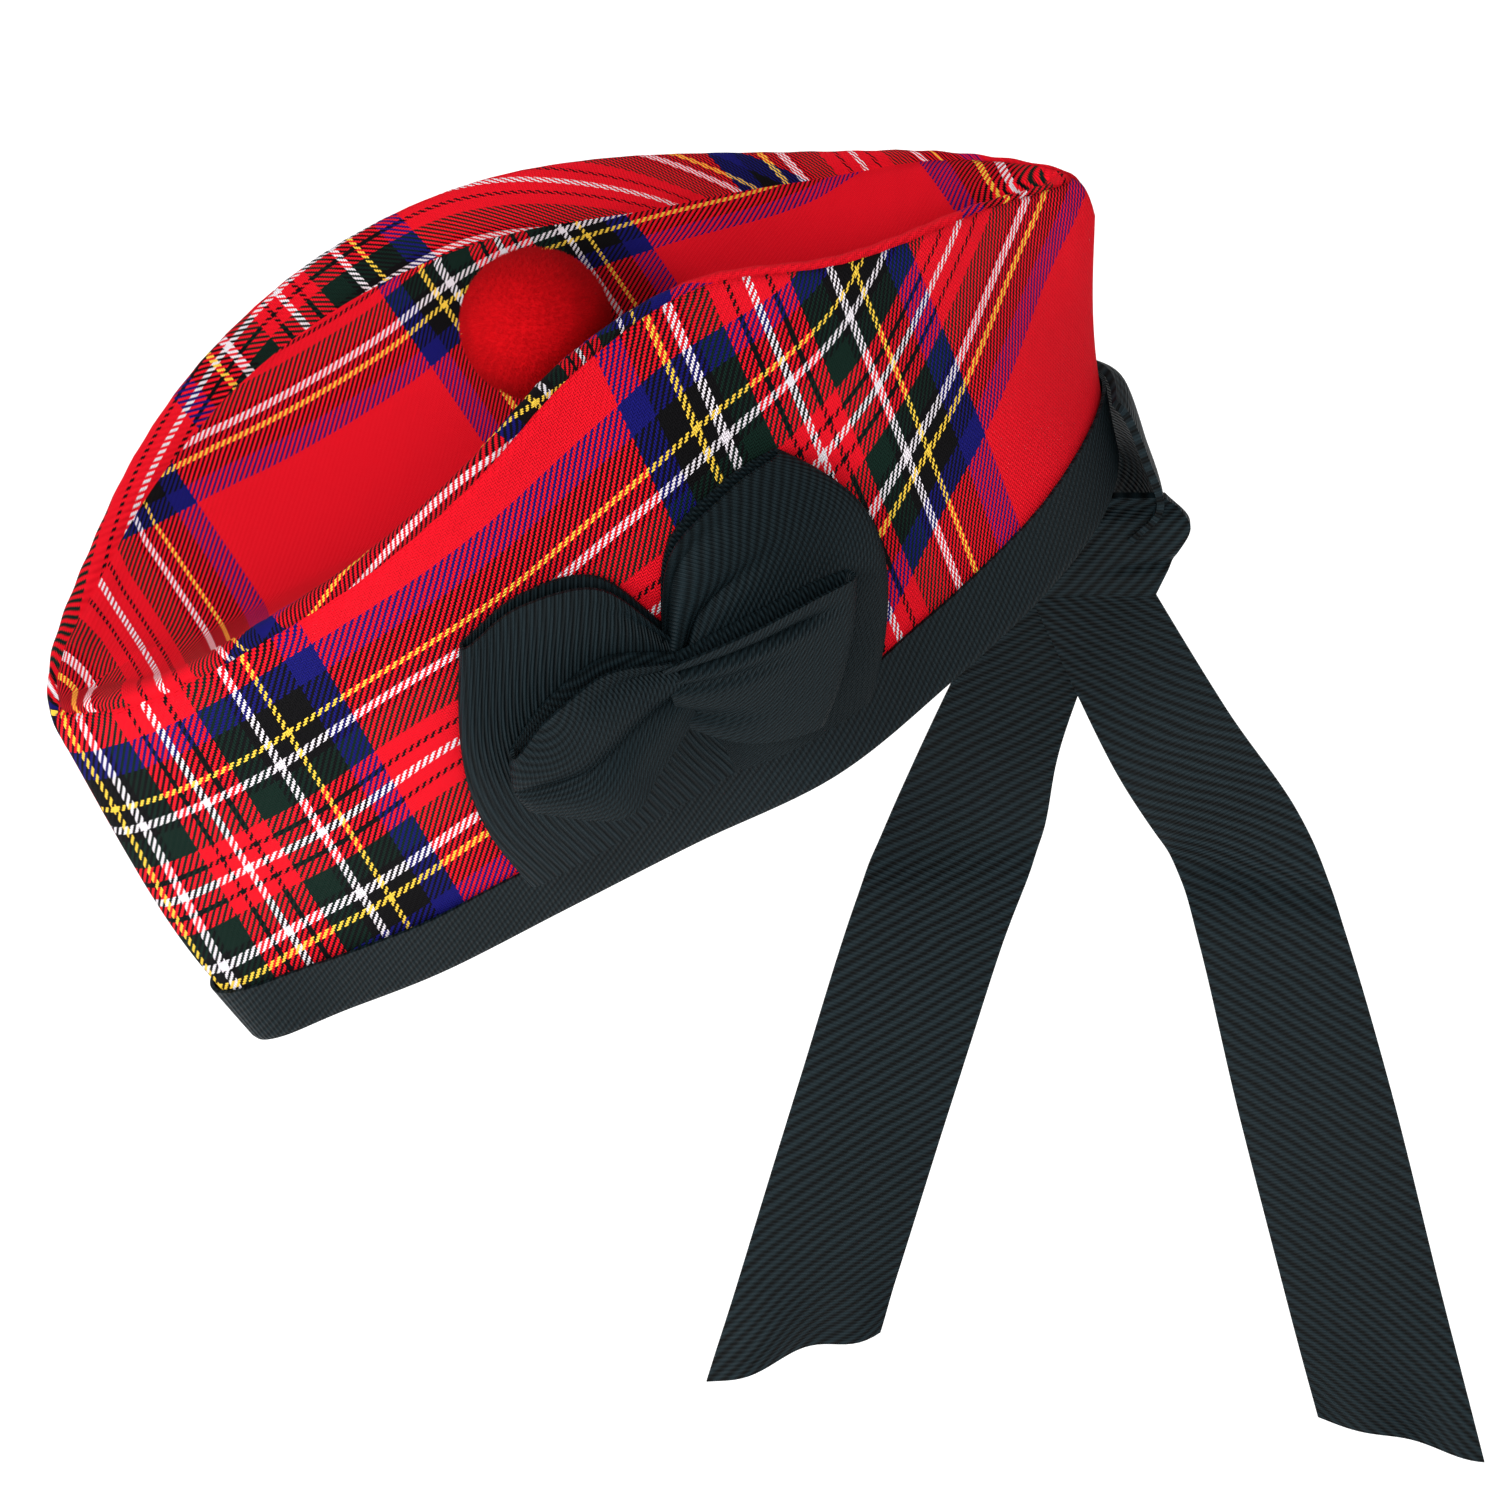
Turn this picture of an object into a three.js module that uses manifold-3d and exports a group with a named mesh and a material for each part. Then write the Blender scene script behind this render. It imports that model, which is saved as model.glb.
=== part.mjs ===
// A glengarry: a red tartan cap with a black ribbon band, a pinched ribbon cockade on its left side, a red wool
// toorie in the crease of its crown and two ribbon tails falling from the back.
// Millimetres, +Z up. The front points along -X and the wearer's left along -Y. The origin is the middle of the
// rim, where the head goes in. The cap is held with its front dipped, so that the tails fall straight down.
import * as THREE from "three";
import { mergeVertices } from "three/addons/utils/BufferGeometryUtils.js";
import Module from "manifold-3d";

// Driving dimensions
const FRONT_DIP = THREE.MathUtils.degToRad(29.7); // the rim's slope, front end low
const CLOTH = 2; // wool cloth with its backing
const RIBBON = 1; // one layer of ribbon
const GAP = 0.3; // clearance between pieces
const INNER_GAP = 1; // the band's inner leg hangs a little looser
const SEAM_GAP = 0.7; // the crown seam's groove
const RIBBON_WIDTH = 40;
const BAND_HEIGHT = RIBBON_WIDTH / 2; // the ribbon is folded in half over the rim

// The cap's half outline, a row for each section from the front seam to the back seam.
// rimX, rimHalf: the rim, at height 0. ridgeX, ridgeHalf, ridgeZ: the top of the fold between side and crown.
// creaseX, creaseDrop: the bottom of the crease and its depth below the ridge. bulge: how far the side stands out.
const SECTIONS = [
  { rimX: -130.5, rimHalf: 0, ridgeX: -126, ridgeHalf: 0, ridgeZ: 115, creaseX: -100, creaseDrop: 2, bulge: 3 },
  { rimX: -125, rimHalf: 6, ridgeX: -118, ridgeHalf: 13, ridgeZ: 116, creaseX: -96, creaseDrop: 3, bulge: 3 },
  { rimX: -109, rimHalf: 12, ridgeX: -99, ridgeHalf: 29, ridgeZ: 120, creaseX: -86, creaseDrop: 11, bulge: 3 },
  { rimX: -82, rimHalf: 23, ridgeX: -72, ridgeHalf: 44, ridgeZ: 127, creaseX: -66, creaseDrop: 22, bulge: 4 },
  { rimX: -48, rimHalf: 31, ridgeX: -40, ridgeHalf: 54, ridgeZ: 133, creaseX: -38, creaseDrop: 32, bulge: 4 },
  { rimX: -12, rimHalf: 39.5, ridgeX: -6, ridgeHalf: 53, ridgeZ: 138, creaseX: -6, creaseDrop: 38, bulge: 5 },
  { rimX: 26, rimHalf: 50, ridgeX: 30, ridgeHalf: 41, ridgeZ: 141, creaseX: 28, creaseDrop: 37, bulge: 5 },
  { rimX: 62, rimHalf: 45, ridgeX: 66, ridgeHalf: 29, ridgeZ: 133, creaseX: 64, creaseDrop: 36, bulge: 5 },
  { rimX: 94, rimHalf: 36.5, ridgeX: 100, ridgeHalf: 25, ridgeZ: 110.5, creaseX: 94, creaseDrop: 22, bulge: 4 },
  { rimX: 118, rimHalf: 22, ridgeX: 137, ridgeHalf: 13, ridgeZ: 90.5, creaseX: 114, creaseDrop: 5, bulge: 1 },
  { rimX: 130, rimHalf: 0, ridgeX: 164, ridgeHalf: 0, ridgeZ: 73, creaseX: 122, creaseDrop: -8, bulge: -3 },
];
const RIGHT_RIDGE_LIFT = 14.5; // the right ridge stands higher than the left one
const FOLD_REACH = 13; // how far the rounded fold reaches down the side and into the crease
const FOLD_RISE = 5; // the fold's corner lies above its rounded top
const SLOPE_CURVE = 1.3; // 1 is a straight slope into the crease, more is hollower
const LEFT_SEAM = 0.17; // where the crown seam lies across the fold, 0 outside and 1 inside
const RIGHT_SEAM = 0.97;
const STATIONS = 72; // round the whole cap
const SIDE_ROWS = 6;
const FOLD_ROWS = 3; // on each side of the crown seam
const SLOPE_ROWS = 5;

// The cockade: its middle on the left side, and its four loops of ribbon. A loop has a row for each section from the
// pinch to its end: high and low are heights of its two edges, and highAlong and lowAlong how far they lie behind
// the pinch.
const COCKADE_STATION = 0.279; // fraction of the way round the cap
const COCKADE_HEIGHT = 59;
const BACK_FRONT_LOOP = [
  { highAlong: 3, high: 5, lowAlong: 4, low: -38 },
  { highAlong: -6, high: 31, lowAlong: -18, low: -39 },
  { highAlong: -26, high: 40, lowAlong: -42, low: -40 },
  { highAlong: -46, high: 38, lowAlong: -63, low: -42 },
];
const BACK_REAR_LOOP = [
  { highAlong: -1, high: 5, lowAlong: -4, low: -38 },
  { highAlong: 12, high: 26, lowAlong: 6, low: -39 },
  { highAlong: 30, high: 29, lowAlong: 18, low: -41 },
  { highAlong: 46, high: 26, lowAlong: 33, low: -43 },
];
const FRONT_FRONT_LOOP = [
  { highAlong: 2, high: 5, lowAlong: 0, low: -12 },
  { highAlong: -13, high: 15, lowAlong: -15, low: -20 },
  { highAlong: -32, high: 14, lowAlong: -30, low: -26 },
  { highAlong: -47, high: 7, lowAlong: -51, low: -10 },
];
const FRONT_REAR_LOOP = [
  { highAlong: -1, high: 5, lowAlong: -4, low: -12 },
  { highAlong: 15, high: 2, lowAlong: 4, low: -22 },
  { highAlong: 30, high: -2, lowAlong: 12, low: -29 },
  { highAlong: 43, high: -7, lowAlong: 20, low: -34 },
];
// under, over: heights of a loop's two layers above the side. puff: how far the upper layer swells.
// roundEnds: how far the middle of each loop's end stands out past its corners.
const BACK_BOW = { loops: [BACK_FRONT_LOOP, BACK_REAR_LOOP], under: 2.4, over: 4.4, puff: 2.2, roundEnds: [9, 17] };
const FRONT_BOW = { loops: [FRONT_FRONT_LOOP, FRONT_REAR_LOOP], under: 8.4, over: 10.6, puff: 3, roundEnds: [2, 2] };
const PLEATS = 3; // gathers running out of the pinch
const PLEAT_DEPTH = 0.5;
const LOOP_REACH = 50; // a loop's usual length, which sets how tightly its end turns
const LOOP_STEPS = 12;
const LOOP_COLUMNS = 6;

// The toorie: a ball of clipped wool in the crease.
const TOORIE_RADIUS = 19;
const TOORIE_CORE = 17.5;
const TOORIE_SEAT = SECTIONS[6];
const TOORIE_LIFT = 22.5; // its middle above the bottom of the crease, as it rides on both slopes
const LOCKS = 50;
const LOCK_LENGTH = 5;
const LOCK_ROOT = 4.6; // radius
const LOCK_TIP = 2.4;

// The flat knot at the back of the band: the wrap's outer face, a row for each bend from its top edge down,
// in the cap's own frame. half: half width round the back. recess: how far its edges bend forwards.
const KNOT_WRAP = [
  { x: 140.2, z: 20, half: 13, recess: 3 },
  { x: 142, z: 15, half: 15, recess: 4 },
  { x: 139.8, z: 2, half: 16, recess: 4 },
  { x: 135, z: -13, half: 16, recess: 3 },
  { x: 123, z: -18, half: 14, recess: 2 },
];
const KNOT_LAYERS = 2 * RIBBON;

// The tails hang in a plane through the knot that is turned a little to the front.
// across, drop: a point in that plane, from the knot. A tail has a row for each bend of its middle line.
// depth: away from the left side. half: half its width, less where it is gathered at the knot. cut: how far the edge
// that is nearer the back runs ahead of the middle, which levels the top and slants the end.
const TAIL_TOP = new THREE.Vector3(106, -8, 45);
const TAIL_TURN = THREE.MathUtils.degToRad(-18.5);
const FLAP_THICKNESS = 5;
const FLAP_OUTLINE = [
  { across: -20, drop: -16.5 },
  { across: 15.5, drop: -16.5 },
  { across: 24, drop: 3.5 },
  { across: 17.5, drop: 11.5 },
  { across: -20, drop: 10 },
];
const TAIL_LEFT = [
  { across: -9, drop: -17.5, depth: 1.3, half: 15, cut: -5 },
  { across: -23, drop: -57, depth: 3, half: 16.5, cut: 0 },
  { across: -31, drop: -87, depth: 4, half: 19.5, cut: 0 },
  { across: -41.5, drop: -118, depth: 4, half: 20, cut: 0 },
  { across: -54.5, drop: -166, depth: 2, half: 20, cut: 0 },
  { across: -67, drop: -213, depth: 1, half: 20, cut: -4 },
  { across: -75.5, drop: -244.5, depth: -1, half: 20, cut: -14 },
];
const TAIL_RIGHT = [
  { across: 0, drop: -17.5, depth: -1.3, half: 15, cut: 7 },
  { across: 19.5, drop: -57, depth: -3, half: 16.5, cut: 0 },
  { across: 38, drop: -90, depth: -5, half: 17.5, cut: 0 },
  { across: 47, drop: -115, depth: -4, half: 18.5, cut: 0 },
  { across: 60, drop: -166, depth: -1, half: 20, cut: 0 },
  { across: 75, drop: -228, depth: 2, half: 20, cut: 3 },
  { across: 86, drop: -272, depth: 1, half: 20, cut: 12 },
];
const TAIL_STEPS = 22;
const TAIL_COLUMNS = 2;

// Materials
const tartan = () => new THREE.MeshStandardMaterial({ color: 0xc8102e, roughness: 0.85, metalness: 0 });
const blackRibbon = () => new THREE.MeshStandardMaterial({ color: 0x14181a, roughness: 0.7, metalness: 0 });
const redWool = () => new THREE.MeshStandardMaterial({ color: 0xd01222, roughness: 0.95, metalness: 0 });

const wasm = await Module();
wasm.setup();

// A closed solid between two grids of points, joined along their borders. The front grid faces out where its first
// index runs to the right and its second runs up. wrap: the first index goes round and meets its start.
// shut: the last row of each grid closes on itself, so it has no border.
function gridSolid(front, back, { wrap = false, shut = false } = {}) {
  const columns = front.length;
  const rows = front[0].length;
  const positions = [...front.flat(), ...back.flat()].flatMap((p) => [p.x, p.y, p.z]);
  const triangles = [];
  const f = (k, j) => (k % columns) * rows + j;
  const b = (k, j) => columns * rows + f(k, j);
  const quad = (p, q, r, s) => triangles.push(p, q, r, p, r, s);
  const spans = wrap ? columns : columns - 1;
  for (let k = 0; k < spans; k += 1) {
    for (let j = 0; j < rows - 1; j += 1) {
      quad(f(k, j), f(k + 1, j), f(k + 1, j + 1), f(k, j + 1));
      quad(b(k, j), b(k, j + 1), b(k + 1, j + 1), b(k + 1, j));
    }
    quad(f(k, 0), b(k, 0), b(k + 1, 0), f(k + 1, 0));
    if (!shut) quad(f(k, rows - 1), f(k + 1, rows - 1), b(k + 1, rows - 1), b(k, rows - 1));
  }
  if (!wrap) {
    const last = columns - 1;
    for (let j = 0; j < rows - 1; j += 1) {
      quad(f(0, j), f(0, j + 1), b(0, j + 1), b(0, j));
      quad(f(last, j), b(last, j), b(last, j + 1), f(last, j + 1));
    }
  }
  const geometry = new THREE.BufferGeometry();
  geometry.setAttribute("position", new THREE.Float32BufferAttribute(positions, 3));
  geometry.setIndex(triangles);
  return mergeVertices(geometry, 1e-4);
}

function toManifold(geometry) {
  const bare = geometry.clone();
  bare.deleteAttribute("normal");
  bare.deleteAttribute("uv");
  const merged = mergeVertices(bare, 1e-4);
  return new wasm.Manifold(
    new wasm.Mesh({
      numProp: 3,
      vertProperties: merged.attributes.position.array,
      triVerts: new Uint32Array(merged.index.array),
    }),
  );
}

function fromManifold(solid) {
  const mesh = solid.getMesh();
  const geometry = new THREE.BufferGeometry();
  geometry.setAttribute("position", new THREE.BufferAttribute(new Float32Array(mesh.vertProperties), 3));
  geometry.setIndex(new THREE.BufferAttribute(new Uint32Array(mesh.triVerts), 1));
  return geometry;
}

// A closed curve round the cap through one point of each section, left side first, then back along the right side.
// pick gives the point of a section on one side, -1 left or 1 right.
function loopThrough(pick) {
  const left = SECTIONS.map((row) => pick(row, -1));
  const right = SECTIONS.slice(1, -1).map((row) => pick(row, 1));
  return new THREE.CatmullRomCurve3([...left, ...right.reverse()], true, "catmullrom", 0.5);
}

const SECTION_PITCH = SECTIONS[6].rimX - SECTIONS[5].rimX; // beside the cockade
const MOST_RIDGE = Math.max(...SECTIONS.map((row) => row.ridgeHalf));
const ridgeHeight = (row, side) =>
  row.ridgeZ + (side > 0 ? RIGHT_RIDGE_LIFT * Math.sqrt(row.ridgeHalf / MOST_RIDGE) : 0);
const rimLoop = loopThrough((row, side) => new THREE.Vector3(row.rimX, side * row.rimHalf, 0));
const ridgeLoop = loopThrough(
  (row, side) => new THREE.Vector3(row.ridgeX, side * row.ridgeHalf, ridgeHeight(row, side)),
);
// The crease runs along the middle, so its loop carries the side's bulge in y.
const creaseLoop = loopThrough((row) => new THREE.Vector3(row.creaseX, row.bulge, row.ridgeZ - row.creaseDrop));

// One section of the cap at a fraction of the way round: its rim, fold corners and crease, and which way is out.
function sectionAt(fraction) {
  const rim = rimLoop.getPoint(fraction);
  const ridge = ridgeLoop.getPoint(fraction);
  const crease = creaseLoop.getPoint(fraction);
  const bulge = crease.y;
  crease.y = 0;
  const along = rimLoop.getTangent(fraction);
  const out = new THREE.Vector3(along.y, -along.x, 0).normalize();
  const corner = ridge.clone().setZ(ridge.z + FOLD_RISE);
  const down = rim.clone().sub(ridge).setLength(FOLD_REACH);
  const shoulder = ridge.clone().add(down);
  const inward = Math.min(FOLD_REACH / Math.hypot(ridge.x - crease.x, ridge.y), 0.6);
  const lip = ridge.clone().lerp(crease, inward);
  lip.z = crease.z + (ridge.z - crease.z) * (1 - inward) ** SLOPE_CURVE;
  return { rim, shoulder, corner, lip, crease, bulge, out };
}

// A point on the side at a height above the rim, standing off its surface by offset.
function sidePoint(section, height, offset = 0) {
  const up = height / section.shoulder.z;
  const point = section.rim.clone().lerp(section.shoulder, up);
  const swell = section.bulge * Math.sin(Math.PI * THREE.MathUtils.clamp(up, 0, 1));
  return point.addScaledVector(section.out, swell + offset);
}

// The cap's outer skin as a grid: stations round it, and rows from the rim over the fold to the crease.
const RIM_LIFT = RIBBON + GAP; // the cloth stands on the band's fold
const SEAM_ROW = SIDE_ROWS + FOLD_ROWS;
function skinGrid() {
  const grid = [];
  for (let k = 0; k < STATIONS; k += 1) {
    const fraction = k / STATIONS;
    const section = sectionAt(fraction);
    const fold = new THREE.QuadraticBezierCurve3(
      sidePoint(section, section.shoulder.z),
      section.corner,
      section.lip,
    );
    const leftShare = Math.sin(2 * Math.PI * fraction);
    const seam = THREE.MathUtils.lerp(RIGHT_SEAM, LEFT_SEAM, (leftShare + 1) / 2);
    const row = [];
    for (let j = 0; j < SIDE_ROWS; j += 1) {
      row.push(sidePoint(section, RIM_LIFT + ((section.shoulder.z - RIM_LIFT) * j) / SIDE_ROWS));
    }
    for (let j = 0; j <= 2 * FOLD_ROWS; j += 1) {
      const share = j / FOLD_ROWS;
      row.push(fold.getPoint(share < 1 ? seam * share : seam + (1 - seam) * (share - 1)));
    }
    for (let j = 1; j <= SLOPE_ROWS; j += 1) {
      const share = j / SLOPE_ROWS;
      const point = section.lip.clone().lerp(section.crease, share);
      point.z = section.crease.z + (section.lip.z - section.crease.z) * (1 - share) ** SLOPE_CURVE;
      row.push(point);
    }
    grid.push(row);
  }
  return grid;
}

// Outward normals of a grid that goes round. The crease row is shared by both sides, so it points straight up there.
function skinNormals(grid) {
  const rows = grid[0].length;
  return grid.map((row, k) => {
    const next = grid[(k + 1) % STATIONS];
    const last = grid[(k + STATIONS - 1) % STATIONS];
    return row.map((point, j) => {
      if (j === rows - 1) return new THREE.Vector3(0, 0, 1);
      const round = next[j].clone().sub(last[j]);
      const up = row[j + 1].clone().sub(row[Math.max(j - 1, 0)]);
      return round.cross(up).normalize();
    });
  });
}

const skin = skinGrid();
const normals = skinNormals(skin);
const inset = (point, normal, depth) => point.clone().addScaledVector(normal, -depth);
const pulledTo = (point, neighbour, distance) =>
  point.clone().add(neighbour.clone().sub(point).setLength(distance));

// A side panel: half of the skin from the rim to the crown seam. side: -1 left or 1 right. groove: how far it
// stops short of the seam. depth: its thickness.
function sidePanel(side, groove = SEAM_GAP / 2, depth = CLOTH) {
  const first = side < 0 ? 0 : STATIONS / 2;
  const outer = [];
  const inner = [];
  const keepOnSide = (point) => point.setY(side * Math.max(side * point.y, GAP / 2));
  for (let n = 0; n <= STATIONS / 2; n += 1) {
    const k = (first + n) % STATIONS;
    const row = skin[k].slice(0, SEAM_ROW + 1);
    row[SEAM_ROW] = pulledTo(row[SEAM_ROW], row[SEAM_ROW - 1], groove);
    outer.push(row.map((point) => keepOnSide(point.clone())));
    inner.push(row.map((point, j) => keepOnSide(inset(point, normals[k][j], depth))));
  }
  return gridSolid(outer, inner);
}

// The crown: the skin from the crown seam to the crease, all the way round. standOff lifts its upper face.
function crownPanel(standOff = 0) {
  const rows = skin.map((row) => {
    const part = row.slice(SEAM_ROW);
    part[0] = pulledTo(part[0], part[1], SEAM_GAP / 2);
    return part;
  });
  const outer = rows.map((row, k) => row.map((point, j) => inset(point, normals[k][SEAM_ROW + j], -standOff)));
  const inner = rows.map((row, k) => row.map((point, j) => inset(point, normals[k][SEAM_ROW + j], CLOTH)));
  return gridSolid(outer, inner, { wrap: true, shut: true });
}

// The crown is cut clear of the sides where the fold is tight, at the back.
function crown() {
  const sides = [-1, 1].map((side) => toManifold(sidePanel(side, 0, CLOTH + GAP)));
  return fromManifold(sides.reduce((left, side) => left.subtract(side), toManifold(crownPanel())));
}

// The band: one ribbon folded over the rim, with the cloth standing in the fold.
function band() {
  const outside = GAP + RIBBON;
  const inside = -CLOTH - INNER_GAP - RIBBON;
  const outerFace = [
    [inside, BAND_HEIGHT],
    [inside, 0],
    [outside, 0],
    [outside, BAND_HEIGHT],
  ];
  const foldFace = [
    [inside + RIBBON, BAND_HEIGHT],
    [inside + RIBBON, RIBBON],
    [GAP, RIBBON],
    [GAP, BAND_HEIGHT],
  ];
  const place = (face) =>
    skin.map((row, k) => {
      const section = sectionAt(k / STATIONS);
      return face.map(([offset, height]) => sidePoint(section, height, offset));
    });
  return gridSolid(place(outerFace), place(foldFace), { wrap: true });
}

// A point on the left side by the cockade: along the cap, up the side, and out from it.
function besideCockade(along, up, off) {
  const section = sectionAt(COCKADE_STATION + along / (SECTION_PITCH * rimLoop.points.length));
  return sidePoint(section, COCKADE_HEIGHT + up, off);
}

// One loop of ribbon: out from the pinch along the side, round its end and back over the top to the pinch.
function ribbonLoop(rows, roundEnd, { under, over, puff }) {
  const middle = (under + over) / 2;
  const high = new THREE.SplineCurve(rows.map((row) => new THREE.Vector2(row.highAlong, row.high)));
  const low = new THREE.SplineCurve(rows.map((row) => new THREE.Vector2(row.lowAlong, row.low)));
  const outwards = Math.sign(rows[rows.length - 1].highAlong);
  const path = new THREE.SplineCurve(
    [
      [0, under],
      [0.45, under],
      [0.93, under],
      [1, middle],
      [0.93, over + puff],
      [0.45, over + puff],
      [0, over],
    ].map(([share, off]) => new THREE.Vector2(share * LOOP_REACH, off)),
  );
  const faces = [RIBBON / 2, -RIBBON / 2].map((layer) => {
    const grid = [];
    for (let k = 0; k <= LOOP_STEPS; k += 1) {
      const centre = path.getPoint(k / LOOP_STEPS);
      const tangent = path.getTangent(k / LOOP_STEPS);
      const share = THREE.MathUtils.clamp(centre.x / LOOP_REACH, 0, 1);
      const row = [];
      for (let j = 0; j <= LOOP_COLUMNS; j += 1) {
        const across = j / LOOP_COLUMNS;
        const edge = low.getPoint(share).lerp(high.getPoint(share), across);
        const swell = roundEnd * share * share * Math.sin(Math.PI * across);
        const gather = PLEAT_DEPTH * (1 - share) * Math.cos(2 * PLEATS * Math.PI * across);
        const along = edge.x + outwards * (swell + layer * tangent.y);
        const off = centre.y - layer * tangent.x + (centre.y > middle ? gather : 0);
        row.push(besideCockade(along, edge.y, off));
      }
      grid.push(outwards < 0 ? row : row.reverse());
    }
    return grid;
  });
  return gridSolid(faces[0], faces[1]);
}

function bow(sizes) {
  const loops = sizes.loops.map((rows, n) => toManifold(ribbonLoop(rows, sizes.roundEnds[n], sizes)));
  return fromManifold(loops.reduce((a, b) => a.add(b)));
}

// The toorie: a core ball with short clipped locks of wool all over it, seated on the crease.
function toorie() {
  let ball = toManifold(new THREE.IcosahedronGeometry(TOORIE_CORE, 1));
  const goldenAngle = Math.PI * (3 - Math.sqrt(5));
  const upright = new THREE.Vector3(0, 1, 0);
  for (let n = 0; n < LOCKS; n += 1) {
    const height = 1 - (2 * n + 1) / LOCKS;
    const ring = Math.sqrt(1 - height * height);
    const turn = n * goldenAngle;
    const direction = new THREE.Vector3(ring * Math.cos(turn), ring * Math.sin(turn), height);
    const lock = new THREE.CylinderGeometry(LOCK_TIP, LOCK_ROOT, LOCK_LENGTH, 4);
    lock.applyQuaternion(new THREE.Quaternion().setFromUnitVectors(upright, direction));
    lock.translate(...direction.multiplyScalar(TOORIE_RADIUS - LOCK_LENGTH / 2).toArray());
    ball = ball.add(toManifold(lock));
  }
  ball = ball.translate(TOORIE_SEAT.creaseX, 0, TOORIE_SEAT.ridgeZ - TOORIE_SEAT.creaseDrop + TOORIE_LIFT);
  return fromManifold(ball.subtract(toManifold(crownPanel(GAP))));
}

// The flat knot: the ribbon wrapped over the back of the band, joined to the folded flap that the tails leave.
function backKnot(toCap) {
  const rows = KNOT_WRAP.map(({ x, z, half, recess }) => ({ point: new THREE.Vector3(x, half, z), recess }));
  const line = new THREE.CatmullRomCurve3(rows.map((row) => row.point));
  const bends = new THREE.SplineCurve(rows.map((row, n) => new THREE.Vector2(n, row.recess)));
  const steps = 12;
  const columns = 8;
  const faces = [0, KNOT_LAYERS].map((depth) => {
    const grid = [];
    for (let j = 0; j <= columns; j += 1) {
      const across = (2 * j) / columns - 1;
      const row = [];
      for (let k = 0; k <= steps; k += 1) {
        const { x, y: half, z } = line.getPoint(k / steps);
        const slope = line.getTangent(k / steps);
        const face = new THREE.Vector2(-slope.z, slope.x).normalize();
        const recess = bends.getPoint(k / steps).y * across * across;
        row.push(new THREE.Vector3(x - recess - depth * face.x, across * half, z - depth * face.y));
      }
      grid.push(row.reverse());
    }
    return grid;
  });
  const wrap = gridSolid(faces[0], faces[1]);
  const outline = new THREE.Shape(FLAP_OUTLINE.map(({ across, drop }) => new THREE.Vector2(across, drop)));
  const flap = new THREE.ExtrudeGeometry(outline, { depth: FLAP_THICKNESS, bevelEnabled: false });
  flap.rotateX(Math.PI / 2);
  flap.translate(0, FLAP_THICKNESS / 2, 0);
  flap.applyMatrix4(toCap);
  return fromManifold(toManifold(wrap).add(toManifold(flap)));
}

// A tail: a flat ribbon along its middle line, with a slanted end.
function tail(rows) {
  const line = new THREE.CatmullRomCurve3(rows.map((row) => new THREE.Vector3(row.across, row.depth, row.drop)));
  const edges = new THREE.SplineCurve(rows.map((row) => new THREE.Vector2(row.half, row.cut)));
  const faces = [-RIBBON / 2, RIBBON / 2].map((depth) => {
    const grid = [];
    for (let j = 0; j <= TAIL_COLUMNS; j += 1) {
      const across = (2 * j) / TAIL_COLUMNS - 1;
      const column = [];
      for (let k = TAIL_STEPS; k >= 0; k -= 1) {
        const share = k / TAIL_STEPS;
        const along = line.getTangent(share);
        const edge = new THREE.Vector3(-along.z, 0, along.x).normalize();
        const point = line.getPoint(share);
        const { x: half, y: cut } = edges.getPoint(share);
        point.addScaledVector(edge, across * half);
        point.addScaledVector(along, across * cut);
        column.push(point.setY(point.y + depth));
      }
      grid.push(column);
    }
    return grid;
  });
  return gridSolid(faces[0], faces[1]);
}

function named(name, geometry, material) {
  const mesh = new THREE.Mesh(geometry, material);
  mesh.name = name;
  return mesh;
}

const glengarry = new THREE.Group();
glengarry.name = "glengarry";

const cap = new THREE.Group();
cap.rotation.y = -FRONT_DIP;
cap.updateMatrix();
glengarry.add(cap);

const tails = new THREE.Group();
tails.position.copy(TAIL_TOP);
tails.rotation.z = TAIL_TURN;
tails.updateMatrix();
glengarry.add(tails);

cap.add(named("side_left", sidePanel(-1), tartan()));
cap.add(named("side_right", sidePanel(1), tartan()));
cap.add(named("crown", crown(), tartan()));
cap.add(named("band", band(), blackRibbon()));
cap.add(named("cockade_back_bow", bow(BACK_BOW), blackRibbon()));
cap.add(named("cockade_front_bow", bow(FRONT_BOW), blackRibbon()));
cap.add(named("toorie", toorie(), redWool()));
const tailsInCap = cap.matrix.clone().invert().multiply(tails.matrix);
cap.add(named("back_knot", backKnot(tailsInCap), blackRibbon()));
tails.add(named("tail_left", tail(TAIL_LEFT), blackRibbon()));
tails.add(named("tail_right", tail(TAIL_RIGHT), blackRibbon()));

export default glengarry;
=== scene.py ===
"""A glengarry: a red tartan cap with a black ribbon band, a pinched ribbon cockade on its left side,
a red wool toorie in the crease of its crown and two ribbon tails falling from the back.

Tables and sizes are in millimetres, in the cap's own frame: front along -X, the wearer's left along -Y,
+Z up from the rim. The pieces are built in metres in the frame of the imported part, where the cap's
front is dipped.
"""

import math

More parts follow.
